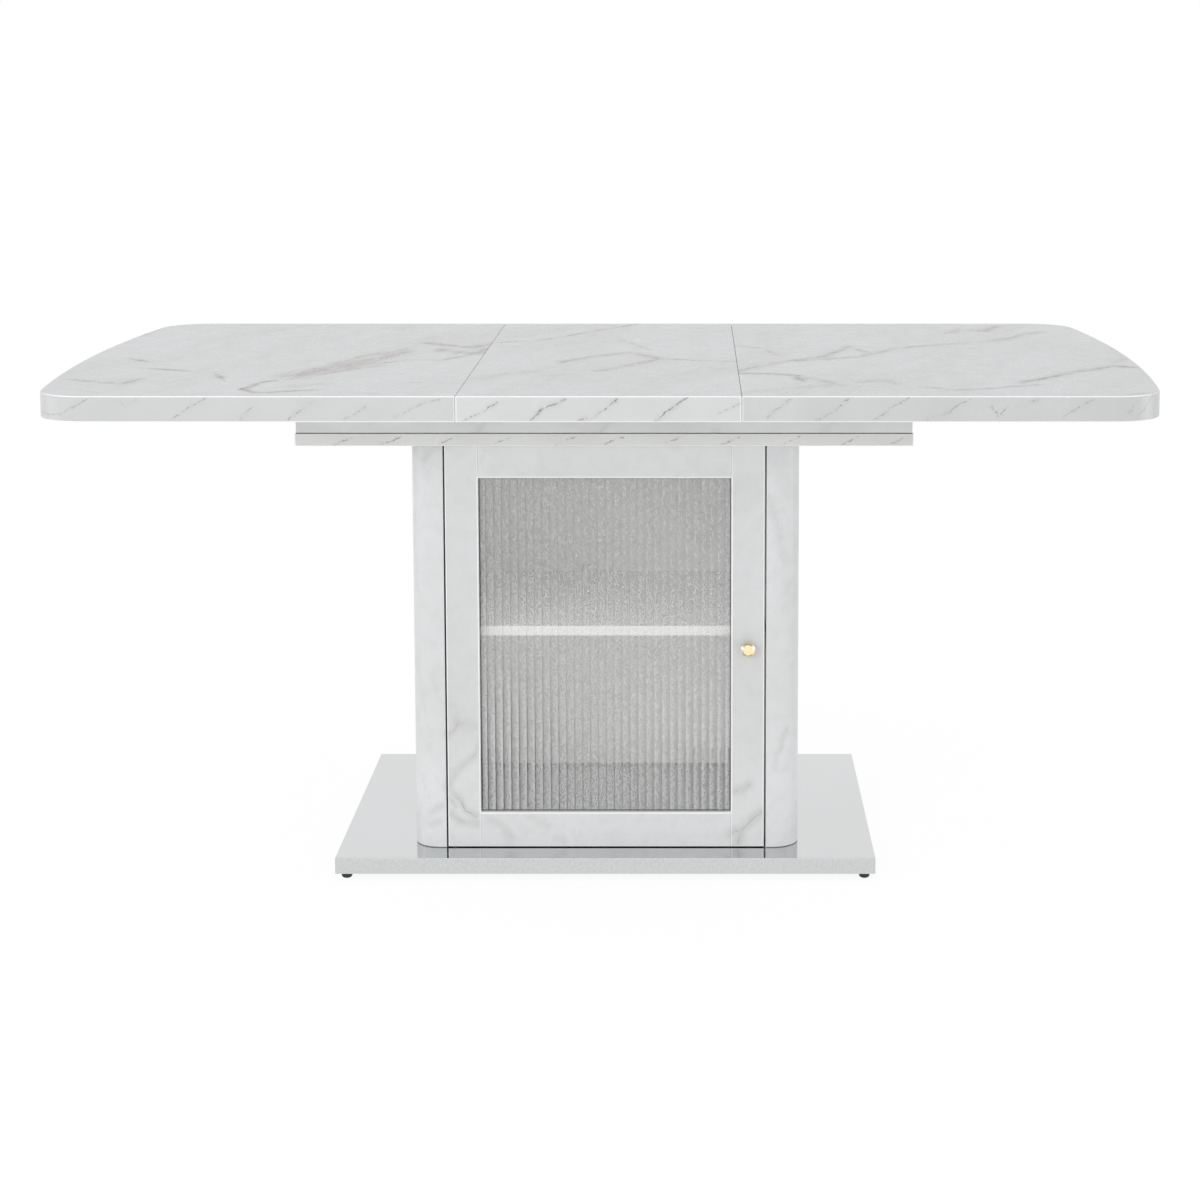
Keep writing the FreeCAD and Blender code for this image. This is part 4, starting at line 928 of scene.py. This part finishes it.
def make_world():
    """Even studio light, with a white background."""
    world = bpy.data.worlds.new("studio")
    bpy.context.scene.world = world
    world.use_nodes = True
    tree = world.node_tree
    tree.nodes.clear()
    output = tree.nodes.new("ShaderNodeOutputWorld")
    light = tree.nodes.new("ShaderNodeBackground")
    light.inputs["Strength"].default_value = WORLD_LIGHT
    white = tree.nodes.new("ShaderNodeBackground")
    for node in (light, white):
        node.inputs["Color"].default_value = (1, 1, 1, 1)
    chosen = tree.nodes.new("ShaderNodeMixShader")
    tree.links.new(seen_white(tree), chosen.inputs[0])
    tree.links.new(light.outputs[0], chosen.inputs[1])
    tree.links.new(white.outputs[0], chosen.inputs[2])
    tree.links.new(chosen.outputs[0], output.inputs["Surface"])


def add_softbox(name, place, aim, width, height, power, mirrored=True):
    """Oblong area lamp that points at a place, and may be seen in glossy surfaces."""
    data = bpy.data.lights.new(name, "AREA")
    data.shape = "RECTANGLE"
    data.size = width
    data.size_y = height
    data.energy = power
    lamp = bpy.data.objects.new(name, data)
    lamp.location = place
    lamp.rotation_euler = (Vector(aim) - Vector(place)).to_track_quat("-Z", "Y").to_euler()
    lamp.visible_glossy = mirrored
    bpy.context.scene.collection.objects.link(lamp)


def make_camera():
    """Camera at the photograph's viewing angle."""
    data = bpy.data.cameras.new("camera")
    data.sensor_width = SENSOR
    data.lens = SENSOR * FOCAL_PIXELS / IMAGE_SIZE
    data.shift_x = 0.5 - PRINCIPAL_X / IMAGE_SIZE
    data.shift_y = PRINCIPAL_Y / IMAGE_SIZE - 0.5
    camera = bpy.data.objects.new("camera", data)
    camera.location = CAMERA_PLACE
    camera.rotation_euler = (math.pi / 2 - CAMERA_TILT, 0, 0)
    bpy.context.scene.collection.objects.link(camera)
    bpy.context.scene.camera = camera


paint_table()
make_floor()
make_world()
add_softbox("key_softbox", (-1.9, -3.9, 2.1), (0, -0.2, 0.45), width=1.4, height=1.0, power=34,
            mirrored=False)
add_softbox("front_softbox", (-0.5, -4.8, 0.35), (0, -0.2, 0.4), width=4.0, height=1.2, power=30)
add_softbox("left_softbox", (-3.6, -0.4, 0.6), (0, -0.1, 0.45), width=1.6, height=1.2, power=8)
add_softbox("right_softbox", (3.6, -0.4, 0.6), (0, -0.1, 0.45), width=1.6, height=1.2, power=14)
make_camera()
bpy.context.scene.view_settings.view_transform = "Standard"
